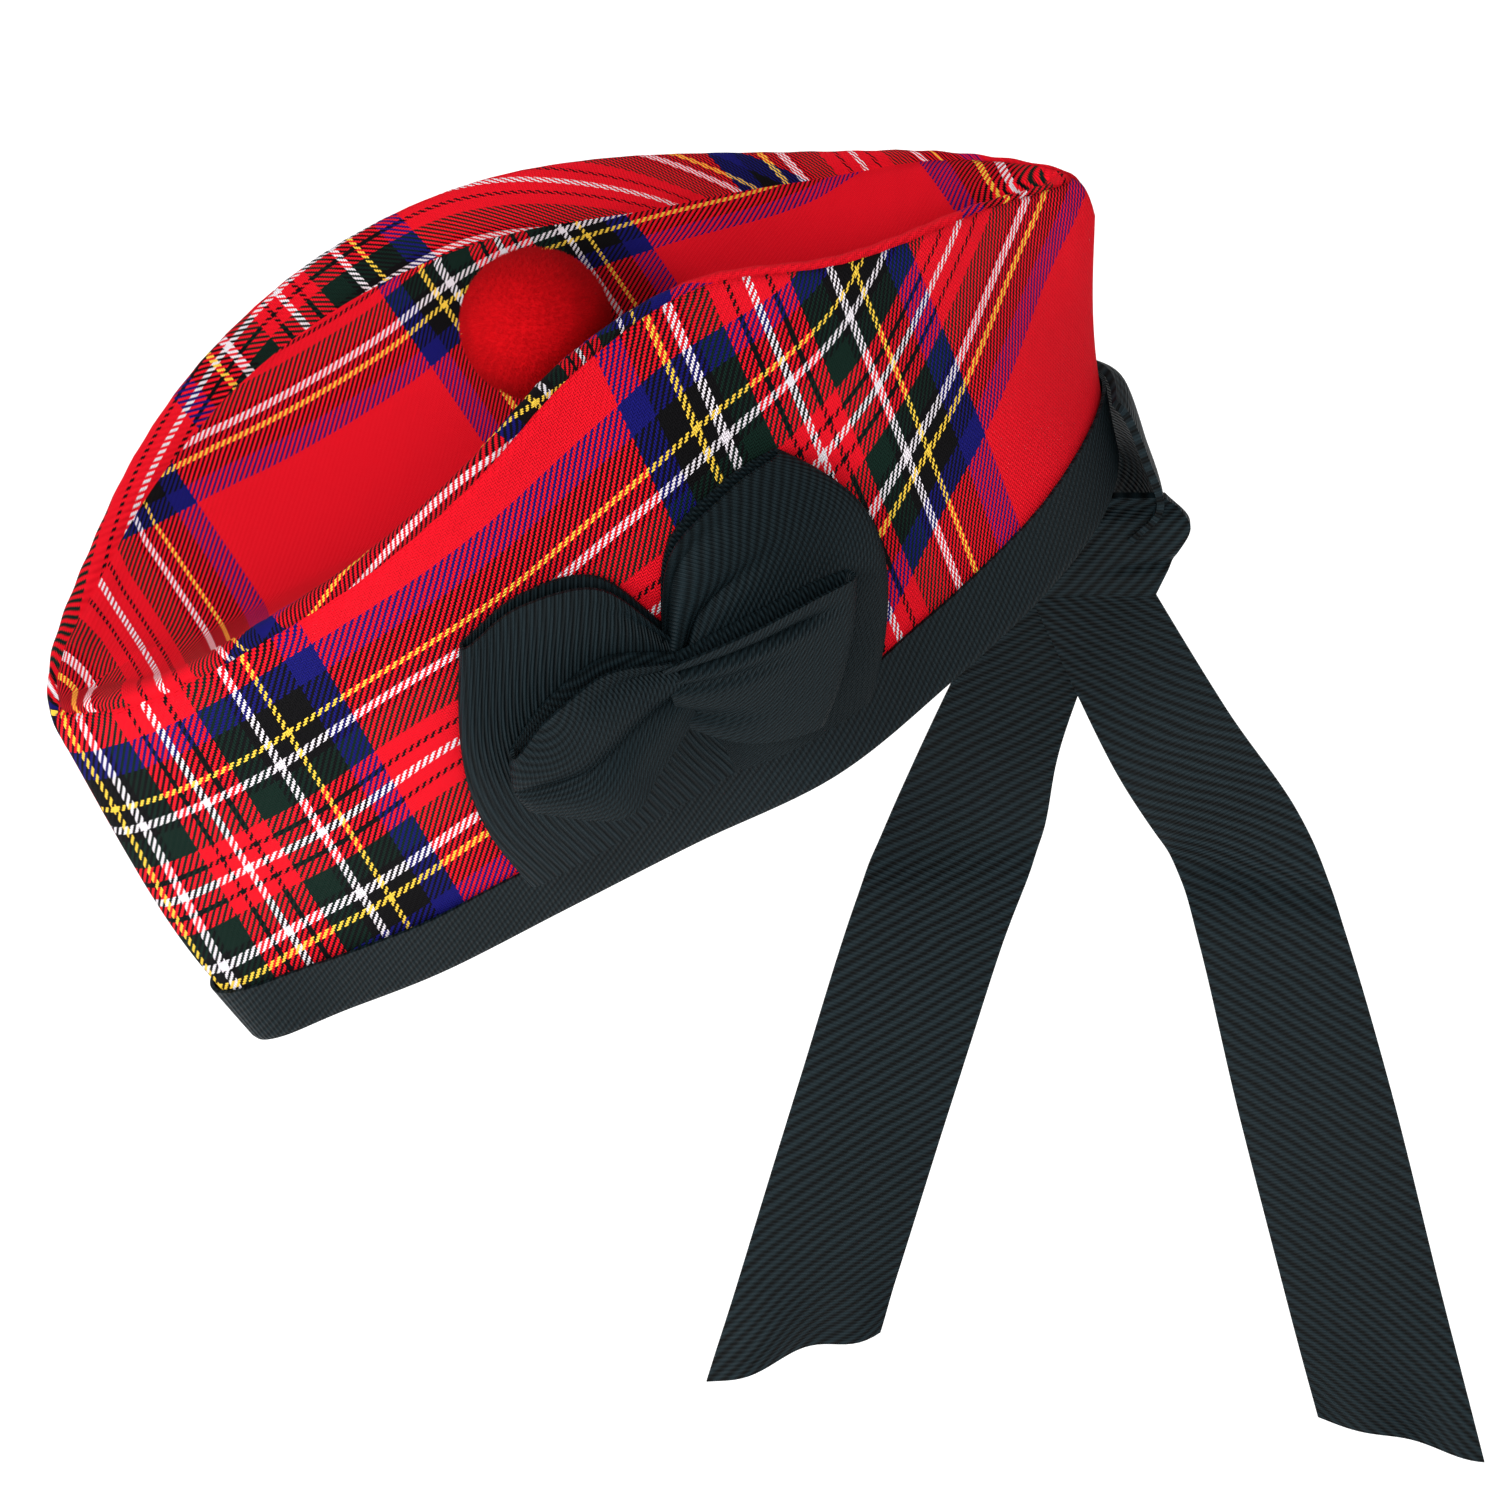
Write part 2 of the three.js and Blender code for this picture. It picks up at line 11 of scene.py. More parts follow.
import bmesh
import bpy
import numpy as np
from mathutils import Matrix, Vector


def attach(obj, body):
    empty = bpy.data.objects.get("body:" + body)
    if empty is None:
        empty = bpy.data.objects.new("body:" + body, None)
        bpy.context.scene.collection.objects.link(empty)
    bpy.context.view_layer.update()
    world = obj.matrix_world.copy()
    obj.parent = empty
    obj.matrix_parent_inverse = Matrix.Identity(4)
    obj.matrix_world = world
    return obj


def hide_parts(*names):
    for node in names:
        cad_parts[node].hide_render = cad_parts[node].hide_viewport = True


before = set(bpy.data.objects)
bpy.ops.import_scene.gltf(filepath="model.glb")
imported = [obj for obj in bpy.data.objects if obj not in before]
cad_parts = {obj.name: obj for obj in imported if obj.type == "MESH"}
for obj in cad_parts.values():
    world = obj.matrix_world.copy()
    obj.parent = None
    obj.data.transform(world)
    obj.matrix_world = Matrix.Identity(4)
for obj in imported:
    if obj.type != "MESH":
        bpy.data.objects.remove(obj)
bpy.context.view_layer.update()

# Driving dimensions
MM = 0.001
TINY = 1e-9
FRONT_DIP = math.radians(29.7)
CLOTH = 2.0
RIBBON = 1.0
GAP = 0.3
INNER_GAP = 1.0
RIBBON_WIDTH = 40.0
BAND_HEIGHT = RIBBON_WIDTH / 2

# The cap's half outline, a row for each section from the front seam to the back seam
SECTION_COLUMNS = (
    "rim_x",
    "rim_half",
    "ridge_x",
    "ridge_half",
    "ridge_z",
    "crease_x",
    "crease_drop",
    "bulge",
)
SECTIONS = [
    (-130.5, 0, -126, 0, 115, -100, 2, 3),
    (-125, 6, -118, 13, 116, -96, 3, 3),
    (-109, 12, -99, 29, 120, -86, 11, 3),
    (-82, 23, -72, 44, 127, -66, 22, 4),
    (-48, 31, -40, 54, 133, -38, 32, 4),
    (-12, 39.5, -6, 53, 138, -6, 38, 5),
    (26, 50, 30, 41, 141, 28, 37, 5),
    (62, 45, 66, 29, 133, 64, 36, 5),
    (94, 36.5, 100, 25, 110.5, 94, 22, 4),
    (118, 22, 137, 13, 90.5, 114, 5, 1),
    (130, 0, 164, 0, 73, 122, -8, -3),
]
RIGHT_RIDGE_LIFT = 14.5
FOLD_REACH = 13.0  # of the soft fold over a ridge, down the side and down the slope
FOLD_LIMIT = 0.6  # of the slope
FOLD_RISE = 5.0
SLOPE_CURVE = 1.3
LEFT_SEAM = 0.17  # where the crown seam lies, as a share of the fold
RIGHT_SEAM = 0.97
RIM_LIFT = RIBBON + GAP
STATIONS = 320
SIDE_ROWS = 44
FOLD_ROWS = 12  # on each side of the crown seam
SLOPE_ROWS = 26
SEAM_ROW = SIDE_ROWS + FOLD_ROWS

# The cockade's loops, a row for each section from the pinch to the loop's end
LOOP_COLUMNS = ("high_along", "high", "low_along", "low")
COCKADE_STATION = 0.279
COCKADE_HEIGHT = 59.0
BACK_FRONT_LOOP = [(3, 5, 4, -38), (-6, 31, -18, -39), (-26, 40, -42, -40), (-46, 38, -63, -42)]
BACK_REAR_LOOP = [(-1, 5, -4, -38), (12, 26, 6, -39), (30, 29, 18, -41), (46, 26, 33, -43)]
FRONT_FRONT_LOOP = [(2, 5, 0, -12), (-13, 15, -15, -20), (-32, 14, -30, -26), (-47, 7, -51, -10)]
FRONT_REAR_LOOP = [(-1, 5, -4, -12), (15, 2, 4, -22), (30, -2, 12, -29), (43, -7, 20, -34)]

# The flat knot at the back of the band
KNOT_COLUMNS = ("x", "z", "half", "recess")
KNOT_WRAP = [
    (140.2, 20, 13, 3),
    (142, 15, 15, 4),
    (139.8, 2, 16, 4),
    (135, -13, 16, 3),
    (123, -18, 14, 2),
]
TAIL_TOP = np.array([106.0, -8.0, 45.0])
TAIL_TURN = math.radians(-18.5)
FLAP_COLUMNS = ("drop", "left", "right")
FLAP_EDGES = [(11.5, -20, 17.5), (3.5, -20, 24), (-6, -20, 20), (-16.5, -20, 15.5)]

# The tails, a row for each bend of the middle line
TAIL_COLUMNS = ("across", "drop", "depth", "half", "cut")
TAIL_LEFT = [
    (-6.3, -10, 2.6, 14, -5),
    (-23, -57, 4, 16.5, 0),
    (-31, -87, 6, 19.5, 0),
    (-41.5, -118, 3.5, 20, 0),
    (-54.5, -166, 2, 20, 0),
    (-67, -213, 0.5, 20, -4),
    (-75.5, -244.5, -1, 20, -14),
]
TAIL_RIGHT = [
    (-3.7, -10, 0.6, 14, 7),
    (19.5, -57, -1, 16.5, 0),
    (38, -90, 2.5, 17.5, 0),
    (47, -115, -1.5, 18.5, 0),
    (60, -166, -2, 20, 0),
    (75, -228, 0, 20, 3),
    (86, -272, 1, 20, 12),
]

# The toorie
TOORIE_CENTRE = np.array([28.0, 0.0, 126.5])
TOORIE_RADIUS = 19.0
FIBRES = 30000
TUFTS = 900

# The tartan, from the middle of its white stripe to the middle of its red one: colour and width in mm
HALF_SETT = [
    ("white", 1.3),
    ("red", 3.0),
    ("black", 1.5),
    ("red", 4.0),
    ("green", 8.0),
    ("black", 2.0),
    ("white", 2.2),
    ("black", 3.5),
    ("yellow", 2.0),
    ("black", 7.0),
    ("blue", 7.5),
    ("red", 46.0),
]
SETT = 2 * sum(width for _, width in HALF_SETT)
THREADS = 332.0  # in one sett
YARN = {
    "red": (222, 14, 32),
    "black": (9, 8, 10),
    "green": (10, 32, 25),
    "blue": (18, 17, 98),
    "yellow": (238, 196, 66),
    "white": (226, 218, 224),
}
# How the cloth lies on each side: where its white stripes cross, its scale along the cap and up the
# side, and how its rows rise and draw together towards the back
LAY_COLUMNS = ("white_x", "scale_x", "white_height", "scale_height", "back_rise", "back_squeeze")
SIDE_LAYS = {
    "side_left": (71.0, 1.0, 69.5, 1.17, 34.0, 0.28),
    "side_right": (-26.5, 0.8, 148.0, 0.72, 6.0, 0.0),
}
CROWN_WHITE_X = 31.5
CROWN_SCALE_X = 0.73
CROWN_SCALE_LEFT = 0.93  # from the crease outwards
CROWN_SCALES_RIGHT = [(-54, 0.71), (8, 0.64), (56, 0.53), (104, 0.42)]  # x and scale
CROWN_FRONT_X = -82.0  # ahead of this x the columns widen towards the left ridge
CROWN_FRONT_WIDER = 0.27
CROWN_FRONT_ROW = 26.0
LAST_STRIPE = 78.2  # from the crease, in sett millimetres: the red stripe by the left crown seam
LAST_STRETCH = 5.0


# Curves and frames
def curve_through(points, closed=False):
    """A Catmull-Rom curve as a function of an array of shares from 0 to 1."""
    points = np.asarray(points, float)
    count = len(points)
    if not closed:
        points = np.vstack([2 * points[0] - points[1], points, 2 * points[-1] - points[-2]])

    def at(share):
        share = np.asarray(share, float)
        place = (share % 1.0) * count if closed else np.clip(share, 0, 1) * (count - 1)
        first = np.floor(place).astype(int)
        if not closed:
            first = np.minimum(first, count - 2)
        w = (place - first)[..., None]
        start = first - 1 if closed else first
        p0, p1, p2, p3 = (points[(start + k) % len(points)] for k in range(4))
        t1 = 0.5 * (p2 - p0)
        t2 = 0.5 * (p3 - p1)
        cubic = 2 * p1 - 2 * p2 + t1 + t2
        square = -3 * p1 + 3 * p2 - 2 * t1 - t2
        return cubic * w**3 + square * w**2 + t1 * w + p1

    return at


def direction(curve, share, step=1e-3):
    """The way that a curve goes at shares along it, of any length."""
    return curve(share + step) - curve(share - step)


def columns(rows, names):
    """A table's columns by name."""
    return dict(zip(names, np.asarray(rows, float).T))


def from_cap(points):
    """Cap millimetres to metres in the part's frame."""
    x, y, z = np.moveaxis(np.asarray(points, float), -1, 0)
    c, s = math.cos(FRONT_DIP), math.sin(FRONT_DIP)
    return np.stack([x * c - z * s, y, x * s + z * c], -1) * MM


def from_tails(points):
    """Tail millimetres (across, depth, drop) to metres in the part's frame."""
    x, y, z = np.moveaxis(np.asarray(points, float), -1, 0)
    c, s = math.cos(TAIL_TURN), math.sin(TAIL_TURN)
    return (np.stack([x * c - y * s, x * s + y * c, z], -1) + TAIL_TOP) * MM


def unit(vectors):
    """Vectors of length 1."""
    return vectors / np.maximum(np.linalg.norm(vectors, axis=-1, keepdims=True), TINY)


def smooth_step(share):
    """A soft rise from 0 to 1 as a share goes from 0 to 1."""
    share = np.clip(share, 0, 1)
    return share * share * (3 - 2 * share)


def valley(distance, width):
    """A soft valley's depth, from 1 in its middle to 0."""
    return np.exp(-((distance / width) ** 2))


def lengths_along(grid, axis):
    """Distance along a grid of points from its first row or column."""
    steps = np.linalg.norm(np.diff(grid, axis=axis), axis=-1)
    return np.concatenate([np.zeros_like(np.take(steps, [0], axis)), np.cumsum(steps, axis)], axis)


# The cap's skin
cap = columns(SECTIONS, SECTION_COLUMNS)


def loop_of(x, half, z_left, z_right):
    """A closed curve round the cap: from the front along the left side, then back along the right."""
    left = np.stack([x, -half, z_left], -1)
    right = np.stack([x, half, z_right], -1)[1:-1]
    return curve_through(np.vstack([left, right[::-1]]), closed=True)


lift = RIGHT_RIDGE_LIFT * np.sqrt(cap["ridge_half"] / cap["ridge_half"].max())
level = np.zeros(len(SECTIONS))
rim_loop = loop_of(cap["rim_x"], cap["rim_half"], level, level)
ridge_loop = loop_of(cap["ridge_x"], cap["ridge_half"], cap["ridge_z"], cap["ridge_z"] + lift)
crease_z = cap["ridge_z"] - cap["crease_drop"]
crease_loop = loop_of(cap["crease_x"], level, crease_z, crease_z)
bulge_loop = loop_of(cap["bulge"], level, level, level)


def sections_at(share):
    """The cap's sections at shares of the way round: the rim, the fold's shoulder, corner and lip,
    the crease, the bulge and the way out."""
    rim, ridge, crease = rim_loop(share), ridge_loop(share), crease_loop(share)
    along = direction(rim_loop, share, 1e-4)
    out = unit(np.stack([along[..., 1], -along[..., 0], np.zeros_like(along[..., 0])], -1))
    corner = ridge + np.array([0, 0, FOLD_RISE])
    shoulder = ridge + unit(rim - ridge) * FOLD_REACH
    flat = np.hypot(ridge[..., 0] - crease[..., 0], ridge[..., 1])
    inward = np.minimum(FOLD_REACH / np.maximum(flat, TINY), FOLD_LIMIT)[..., None]
    lip = ridge + (crease - ridge) * inward
    rise = ridge[..., 2] - crease[..., 2]
    lip[..., 2] = crease[..., 2] + rise * (1 - inward[..., 0]) ** SLOPE_CURVE
    bulge = bulge_loop(share)[..., 0]
    return dict(rim=rim, shoulder=shoulder, corner=corner, lip=lip, crease=crease, bulge=bulge, out=out)


def side_point(section, height, offset=0.0):
    """Points on the side at heights above the rim, standing off it."""
    up = height / section["shoulder"][..., 2]
    swell = section["bulge"] * np.sin(math.pi * np.clip(up, 0, 1)) + offset
    reach = section["shoulder"] - section["rim"]
    return section["rim"] + reach * up[..., None] + section["out"] * swell[..., None]


def skin_grid(share):
    """Stations round the cap by rows from the rim over the fold to the crease."""
    section = sections_at(share)
    shoulder = section["shoulder"][..., 2]
    corner, lip, crease = section["corner"], section["lip"], section["crease"]
    rows = []
    for j in range(SIDE_ROWS):
        rows.append(side_point(section, RIM_LIFT + (shoulder - RIM_LIFT) * j / SIDE_ROWS))
    top = side_point(section, shoulder)
    seam = RIGHT_SEAM + (LEFT_SEAM - RIGHT_SEAM) * (np.sin(2 * math.pi * share) + 1) / 2
    for j in range(2 * FOLD_ROWS + 1):
        part = j / FOLD_ROWS - 1
        crowded = part * abs(part)
        w = (seam + (seam if part < 0 else 1 - seam) * crowded)[:, None]
        rows.append((1 - w) ** 2 * top + 2 * w * (1 - w) * corner + w**2 * lip)
    rise = lip[..., 2] - crease[..., 2]
    for j in range(1, SLOPE_ROWS + 1):
        part = j / SLOPE_ROWS
        point = lip + (crease - lip) * part
        point[..., 2] = crease[..., 2] + rise * (1 - part) ** SLOPE_CURVE
        rows.append(point)
    return np.stack(rows, 1)


def grid_normals(grid):
    """Outward normals of a grid whose first index goes right and second goes up."""
    right, up = np.gradient(grid, axis=(0, 1))
    return unit(np.cross(right, up))


RIPPLES = 5
RIPPLE_PITCHES = (0.7, 1.6)  # of the scale


def ripples(x, y, scale, seed):
    """A few long soft waves over a surface, from -1 to 1."""
    source = np.random.default_rng(seed)
    total = np.zeros(np.broadcast(x, y).shape)
    for _ in range(RIPPLES):
        turn = source.uniform(0, 2 * math.pi)
        pitch = scale * source.uniform(*RIPPLE_PITCHES)
        phase = source.uniform(0, 2 * math.pi)
        total += np.sin(2 * math.pi * (x * math.cos(turn) + y * math.sin(turn)) / pitch + phase)
    return total / RIPPLES


# Mesh building
JOIN = 2e-6  # metres
SHARP = 55.0  # degrees between faces that don't shade as one


def new_object(name, data):
    """An object in the scene."""
    made = bpy.data.objects.new(name, data)
    bpy.context.scene.collection.objects.link(made)
    return made


def mesh_object(name, points, faces, uv, material, sharp=SHARP):
    """A mesh piece with smooth shading. uv holds a pair for each point."""
    mesh = bpy.data.meshes.new(name)
    mesh.from_pydata(points.tolist(), [], faces)
    mesh.polygons.foreach_set("use_smooth", np.ones(len(mesh.polygons), bool))
    mesh.set_sharp_from_angle(angle=math.radians(sharp))
    corners = np.zeros(len(mesh.loops), int)
    mesh.loops.foreach_get("vertex_index", corners)
    layer = mesh.uv_layers.new(name="cloth")
    layer.data.foreach_set("uv", np.asarray(uv, np.float32)[corners].ravel())
    mesh.materials.append(material)
    return new_object(name, mesh)


def sheet_faces(count, rows, ends=True, last_edge=True):
    """Faces of a thin solid between two grids of points, the front one first, with its open edges."""
    faces = []
    back = count * rows
    for k in range(count - 1):
        for j in range(rows - 1):
            a, b = k * rows + j, (k + 1) * rows + j
            faces.append((a, b, b + 1, a + 1))
            faces.append((back + a, back + a + 1, back + b + 1, back + b))
        a, b = k * rows, (k + 1) * rows
        faces.append((a, back + a, back + b, b))
        if last_edge:
            a, b = a + rows - 1, b + rows - 1
            faces.append((a, b, back + b, back + a))
    if ends:
        last = (count - 1) * rows
        for j in range(rows - 1):
            faces.append((j, j + 1, back + j + 1, back + j))
            faces.append((last + j, back + last + j, back + last + j + 1, last + j + 1))
    return faces


def sheet_object(name, sheets, material, ends=True, last_edge=True):
    """A piece of sheets, each between two grids of points in metres. Without end faces, edges that
    meet are joined."""
    points, faces, uvs, start = [], [], [], 0
    for front, back, uv in sheets:
        count, rows = front.shape[:2]
        points += [front.reshape(-1, 3), back.reshape(-1, 3)]
        uvs += [uv.reshape(-1, 2)] * 2
        for face in sheet_faces(count, rows, ends, last_edge):
            faces.append(tuple(start + corner for corner in face))
        start += 2 * count * rows
    piece = mesh_object(name, np.vstack(points), faces, np.vstack(uvs), material)
    if not ends:
        joined = bmesh.new()
        joined.from_mesh(piece.data)
        bmesh.ops.remove_doubles(joined, verts=joined.verts, dist=JOIN)
        joined.to_mesh(piece.data)
        joined.free()
    return piece


# Materials
def linear(colour):
    """A display colour of 0 to 255 as linear light."""
    share = np.array(colour) / 255
    low = share / 12.92
    high = ((share + 0.055) / 1.055) ** 2.4
    return (*np.where(share <= 0.04045, low, high), 1.0)


def new_group(name, inputs, outputs):
    """An empty shader group with named sockets, and its input and output nodes."""
    group = bpy.data.node_groups.new(name, "ShaderNodeTree")
    for way, sockets in (("INPUT", inputs), ("OUTPUT", outputs)):
        for socket, kind in sockets.items():
            group.interface.new_socket(socket, in_out=way, socket_type=f"NodeSocket{kind}")
    return group, group.nodes.new("NodeGroupInput"), group.nodes.new("NodeGroupOutput")


def feed(tree, socket, value):
    """A number, a colour or another node's result goes into a socket."""
    if isinstance(value, bpy.types.NodeSocket):
        tree.links.new(value, socket)
    else:
        socket.default_value = value


def calculator(tree):
    """A maker of maths nodes in a tree, which returns the result's socket."""

    def calculate(operation, *values):
        node = tree.nodes.new("ShaderNodeMath")
        node.operation = operation
        for socket, value in zip(node.inputs, values):
            feed(tree, socket, value)
        return node.outputs[0]

    return calculate


def mixed(tree, share, first, second, blend="MIX"):
    """The colour between two others."""
    node = tree.nodes.new("ShaderNodeMix")
    node.data_type = "RGBA"
    node.blend_type = blend
    for number, value in ((0, share), (6, first), (7, second)):
        feed(tree, node.inputs[number], value)
    return node.outputs[2]


def noise(tree, vector, scale, detail=2.0):
    """Noise from 0 to 1 at places given by a vector."""
    node = tree.nodes.new("ShaderNodeTexNoise")
    node.inputs["Scale"].default_value = scale
    node.inputs["Detail"].default_value = detail
    tree.links.new(vector, node.inputs["Vector"])
    return node.outputs[0]


def sett_ramp(tree, place):
    """The tartan's stripe colour at a place along the sett, from 0 to 1 between white stripes."""
    node = tree.nodes.new("ShaderNodeValToRGB")
    ramp = node.color_ramp
    ramp.interpolation = "CONSTANT"
    stripes = HALF_SETT + HALF_SETT[-2::-1]
    widths = [width for _, width in stripes]
    widths[len(HALF_SETT) - 1] *= 2
    start = 0.0
    for number, ((colour, _), width) in enumerate(zip(stripes, widths)):
        stop = ramp.elements[0] if number == 0 else ramp.elements.new(start / SETT)
        stop.position = start / SETT
        stop.color = linear(YARN[colour])
        start += width
    ramp.elements.remove(ramp.elements[-1])
    tree.links.new(place, node.inputs[0])
    return node.outputs[0]


# The tartan's twill
TWILL_OVER = 2.0  # threads that a thread passes over, and then under
# painted shade: how far the colour darkens where a thread rounds down between its neighbours
THREAD_PAINTED_SHADE = 0.3
FLUFF_SHADE = 0.5
FLUFF_SCALE = 420.0  # to a sett
FLUFF_DETAIL = 3.0


def tartan_group():
    """Two-over-two twill of two striped yarn sets, with painted shade where the threads round down
    between each other. Cloth is in setts.
    """
    inputs = {"Cloth": "Vector", "Threads": "Float"}
    outputs = {"Color": "Color", "Height": "Float"}
    tree, given, made = new_group("tartan_twill", inputs, outputs)
    calculate = calculator(tree)
    split = tree.nodes.new("ShaderNodeSeparateXYZ")
    tree.links.new(given.outputs["Cloth"], split.inputs[0])

    def thread_at(place):
        """The colour, the number and the roundness of the thread at a place."""
        thread = calculate("MULTIPLY", place, given.outputs["Threads"])
        roundness = calculate("SINE", calculate("MULTIPLY", calculate("FRACT", thread), math.pi))
        return sett_ramp(tree, calculate("FRACT", place)), calculate("FLOOR", thread), roundness

    warp, warp_number, warp_round = thread_at(split.outputs[0])
    weft, weft_number, weft_round = thread_at(split.outputs[1])
    count = calculate("SUBTRACT", weft_number, warp_number)
    over = calculate("LESS_THAN", calculate("FLOORED_MODULO", count, 2 * TWILL_OVER), TWILL_OVER)
    colour = mixed(tree, over, weft, warp)
    top = calculate("MULTIPLY", warp_round, over)
    under = calculate("MULTIPLY", weft_round, calculate("SUBTRACT", 1.0, over))
    height = calculate("ADD", top, under)
    fluff = noise(tree, given.outputs["Cloth"], FLUFF_SCALE, FLUFF_DETAIL)
    tone_and_painted_shade = calculate("MULTIPLY_ADD", fluff, FLUFF_SHADE, 1 - FLUFF_SHADE)
    # Painted shade in the dips between threads, over the fluff's uneven tone
    tone_and_painted_shade = calculate("MULTIPLY_ADD", height, THREAD_PAINTED_SHADE, tone_and_painted_shade)
    colour = mixed(tree, 1.0, colour, tone_and_painted_shade, "MULTIPLY")
    tree.links.new(colour, made.inputs["Color"])
    tree.links.new(calculate("ADD", height, fluff), made.inputs["Height"])
    return tree


# The ribbon is black: how far its ribs and its slanted stripes turn its shaded colour into its lit one
# paints highlight, shade and sheen on it, and uneven patches vary the tone
RIBBON_SHADED = (0, 1, 1)
RIBBON_LIT = (25, 38, 43)
RIB_PAINTED_SHADING = 0.2
STRIPE_PAINTED_SHEEN = 0.5
MIDDLE_SHARE = (RIB_PAINTED_SHADING + STRIPE_PAINTED_SHEEN) / 2
PATCH_SHARE = 0.1
PATCH_SCALE = 28.0  # to a metre
PATCH_DETAIL = 4.0
RIB_PITCH = 0.00105  # metres
STRIPE_PITCH = 0.0028
WOBBLE = 0.5  # of a pitch
WOBBLE_SCALE = 90.0  # to a metre
STRIPE_HEIGHT = 0.5  # of a rib's
RIBBON_ROUGHNESS = 0.62
RIB_GLOSS = 0.15  # the top of a rib is smoother


def ribbon_group():
    """Fine ribs across the ribbon and wider slanted stripes, in relief and as painted highlight, shade
    and sheen.
    Ribbon is metres across the stripes and along the ribbon."""
    inputs = {"Ribbon": "Vector", "Rib Pitch": "Float", "Stripe Pitch": "Float", "Contrast": "Float"}
    outputs = {"Color": "Color", "Roughness": "Float", "Height": "Float"}
    tree, given, made = new_group("ribbed_ribbon", inputs, outputs)
    calculate = calculator(tree)
    split = tree.nodes.new("ShaderNodeSeparateXYZ")
    tree.links.new(given.outputs["Ribbon"], split.inputs[0])
    wobble = calculate("MULTIPLY", noise(tree, given.outputs["Ribbon"], WOBBLE_SCALE), WOBBLE)

    def lines_at(place, pitch):
        """Soft lines from 0 to 1 at a place."""
        count = calculate("ADD", calculate("DIVIDE", place, pitch), wobble)
        wave = calculate("SINE", calculate("MULTIPLY", count, 2 * math.pi))
        return calculate("MULTIPLY_ADD", wave, 0.5, 0.5)

    stripe = lines_at(split.outputs[0], given.outputs["Stripe Pitch"])
    rib = lines_at(split.outputs[1], given.outputs["Rib Pitch"])
    patches = noise(tree, given.outputs["Ribbon"], PATCH_SCALE, PATCH_DETAIL)
    lines = calculate("MULTIPLY_ADD", rib, RIB_PAINTED_SHADING, calculate("MULTIPLY", stripe, STRIPE_PAINTED_SHEEN))
    lines = calculate("SUBTRACT", lines, MIDDLE_SHARE)
    uneven = calculate("MULTIPLY_ADD", patches, PATCH_SHARE, MIDDLE_SHARE)
    share = calculate("MULTIPLY_ADD", lines, given.outputs["Contrast"], uneven)
    # painted light: the black ribbon is drawn between its shaded colour and its lit one
    colour = mixed(tree, share, linear(RIBBON_SHADED), linear(RIBBON_LIT))
    tree.links.new(colour, made.inputs["Color"])
    roughness = calculate("MULTIPLY_ADD", rib, -RIB_GLOSS, RIBBON_ROUGHNESS)
    tree.links.new(roughness, made.inputs["Roughness"])
    tree.links.new(calculate("MULTIPLY_ADD", stripe, STRIPE_HEIGHT, rib), made.inputs["Height"])
    return tree


# The wool: how far its coarse patches turn the dark yarn into the lit one
WOOL_DARK = (98, 0, 3)
WOOL_LIT = (184, 4, 13)
WOOL_LEAST_LIT = 0.48
WOOL_PATCHES = 0.5
WOOL_PATCH_SCALE = 160.0  # to a metre
WOOL_PATCH_DETAIL = 3.0
WOOL_FLUFF_SCALE = 900.0


def wool_group():
    """Clipped wool: a red that darkens in patches."""
    outputs = {"Color": "Color", "Height": "Float"}
    tree, given, made = new_group("clipped_wool", {"Place": "Vector"}, outputs)
    calculate = calculator(tree)
    patches = noise(tree, given.outputs["Place"], WOOL_PATCH_SCALE, WOOL_PATCH_DETAIL)
    fine = noise(tree, given.outputs["Place"], WOOL_FLUFF_SCALE)
    share = calculate("MULTIPLY_ADD", patches, WOOL_PATCHES, WOOL_LEAST_LIT)
    colour = mixed(tree, share, linear(WOOL_DARK), linear(WOOL_LIT))
    tree.links.new(colour, made.inputs["Color"])
    tree.links.new(fine, made.inputs["Height"])
    return tree


GLOSS = 0.08  # cloth, ribbon and wool shine little
RELIEF = 0.0004  # metres


def new_material(name, group, bump, roughness=None, **settings):
    """A cloth material from a group that is fed with the piece's own cloth coordinates. Without a
    roughness it takes the group's own."""
    material = bpy.data.materials.new(name)
    material.use_nodes = True
    tree = material.node_tree
    shader = tree.nodes["Principled BSDF"]
    shader.inputs["Specular IOR Level"].default_value = GLOSS
    node = tree.nodes.new("ShaderNodeGroup")
    node.node_tree = group
    for socket, value in settings.items():
        node.inputs[socket].default_value = value
    place = tree.nodes.new("ShaderNodeUVMap")
    place.uv_map = "cloth"
    tree.links.new(place.outputs[0], node.inputs[0])
    tree.links.new(node.outputs["Color"], shader.inputs["Base Color"])
    if roughness is None:
        tree.links.new(node.outputs["Roughness"], shader.inputs["Roughness"])
    else:
        shader.inputs["Roughness"].default_value = roughness
    relief = tree.nodes.new("ShaderNodeBump")
    relief.inputs["Strength"].default_value = bump
    relief.inputs["Distance"].default_value = RELIEF
    tree.links.new(node.outputs["Height"], relief.inputs["Height"])
    tree.links.new(relief.outputs[0], shader.inputs["Normal"])
    return material


tartan = new_material("tartan_cloth", tartan_group(), bump=0.8, roughness=0.9, Threads=THREADS)
weave = {"Rib Pitch": RIB_PITCH, "Stripe Pitch": STRIPE_PITCH}
ribs_and_stripes = ribbon_group()
# Contrast sets how strong the painted highlight and shade of the ribs and stripes are; the knot and the
# tails get a stronger one
ribbon = new_material("black_ribbon", ribs_and_stripes, bump=0.8, Contrast=0.8, **weave)
tail_ribbon = new_material("black_ribbon_tails", ribs_and_stripes, bump=0.8, Contrast=1.4, **weave)
wool = new_material("red_wool", wool_group(), bump=0.4, roughness=0.95)


def ribbed(run, width, angle, spacing=1.0):
    """Ribbon coordinates from lengths in metres, with stripes at an angle in degrees to the run."""
    turn = math.radians(angle)
    stripes = (run * math.sin(turn) - width * math.cos(turn)) / spacing
    return np.stack([stripes, run + 0 * width], -1)


def settle(piece, node):
    """A finished piece takes the place of its solid."""
    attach(piece, "root")
    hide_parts(node)


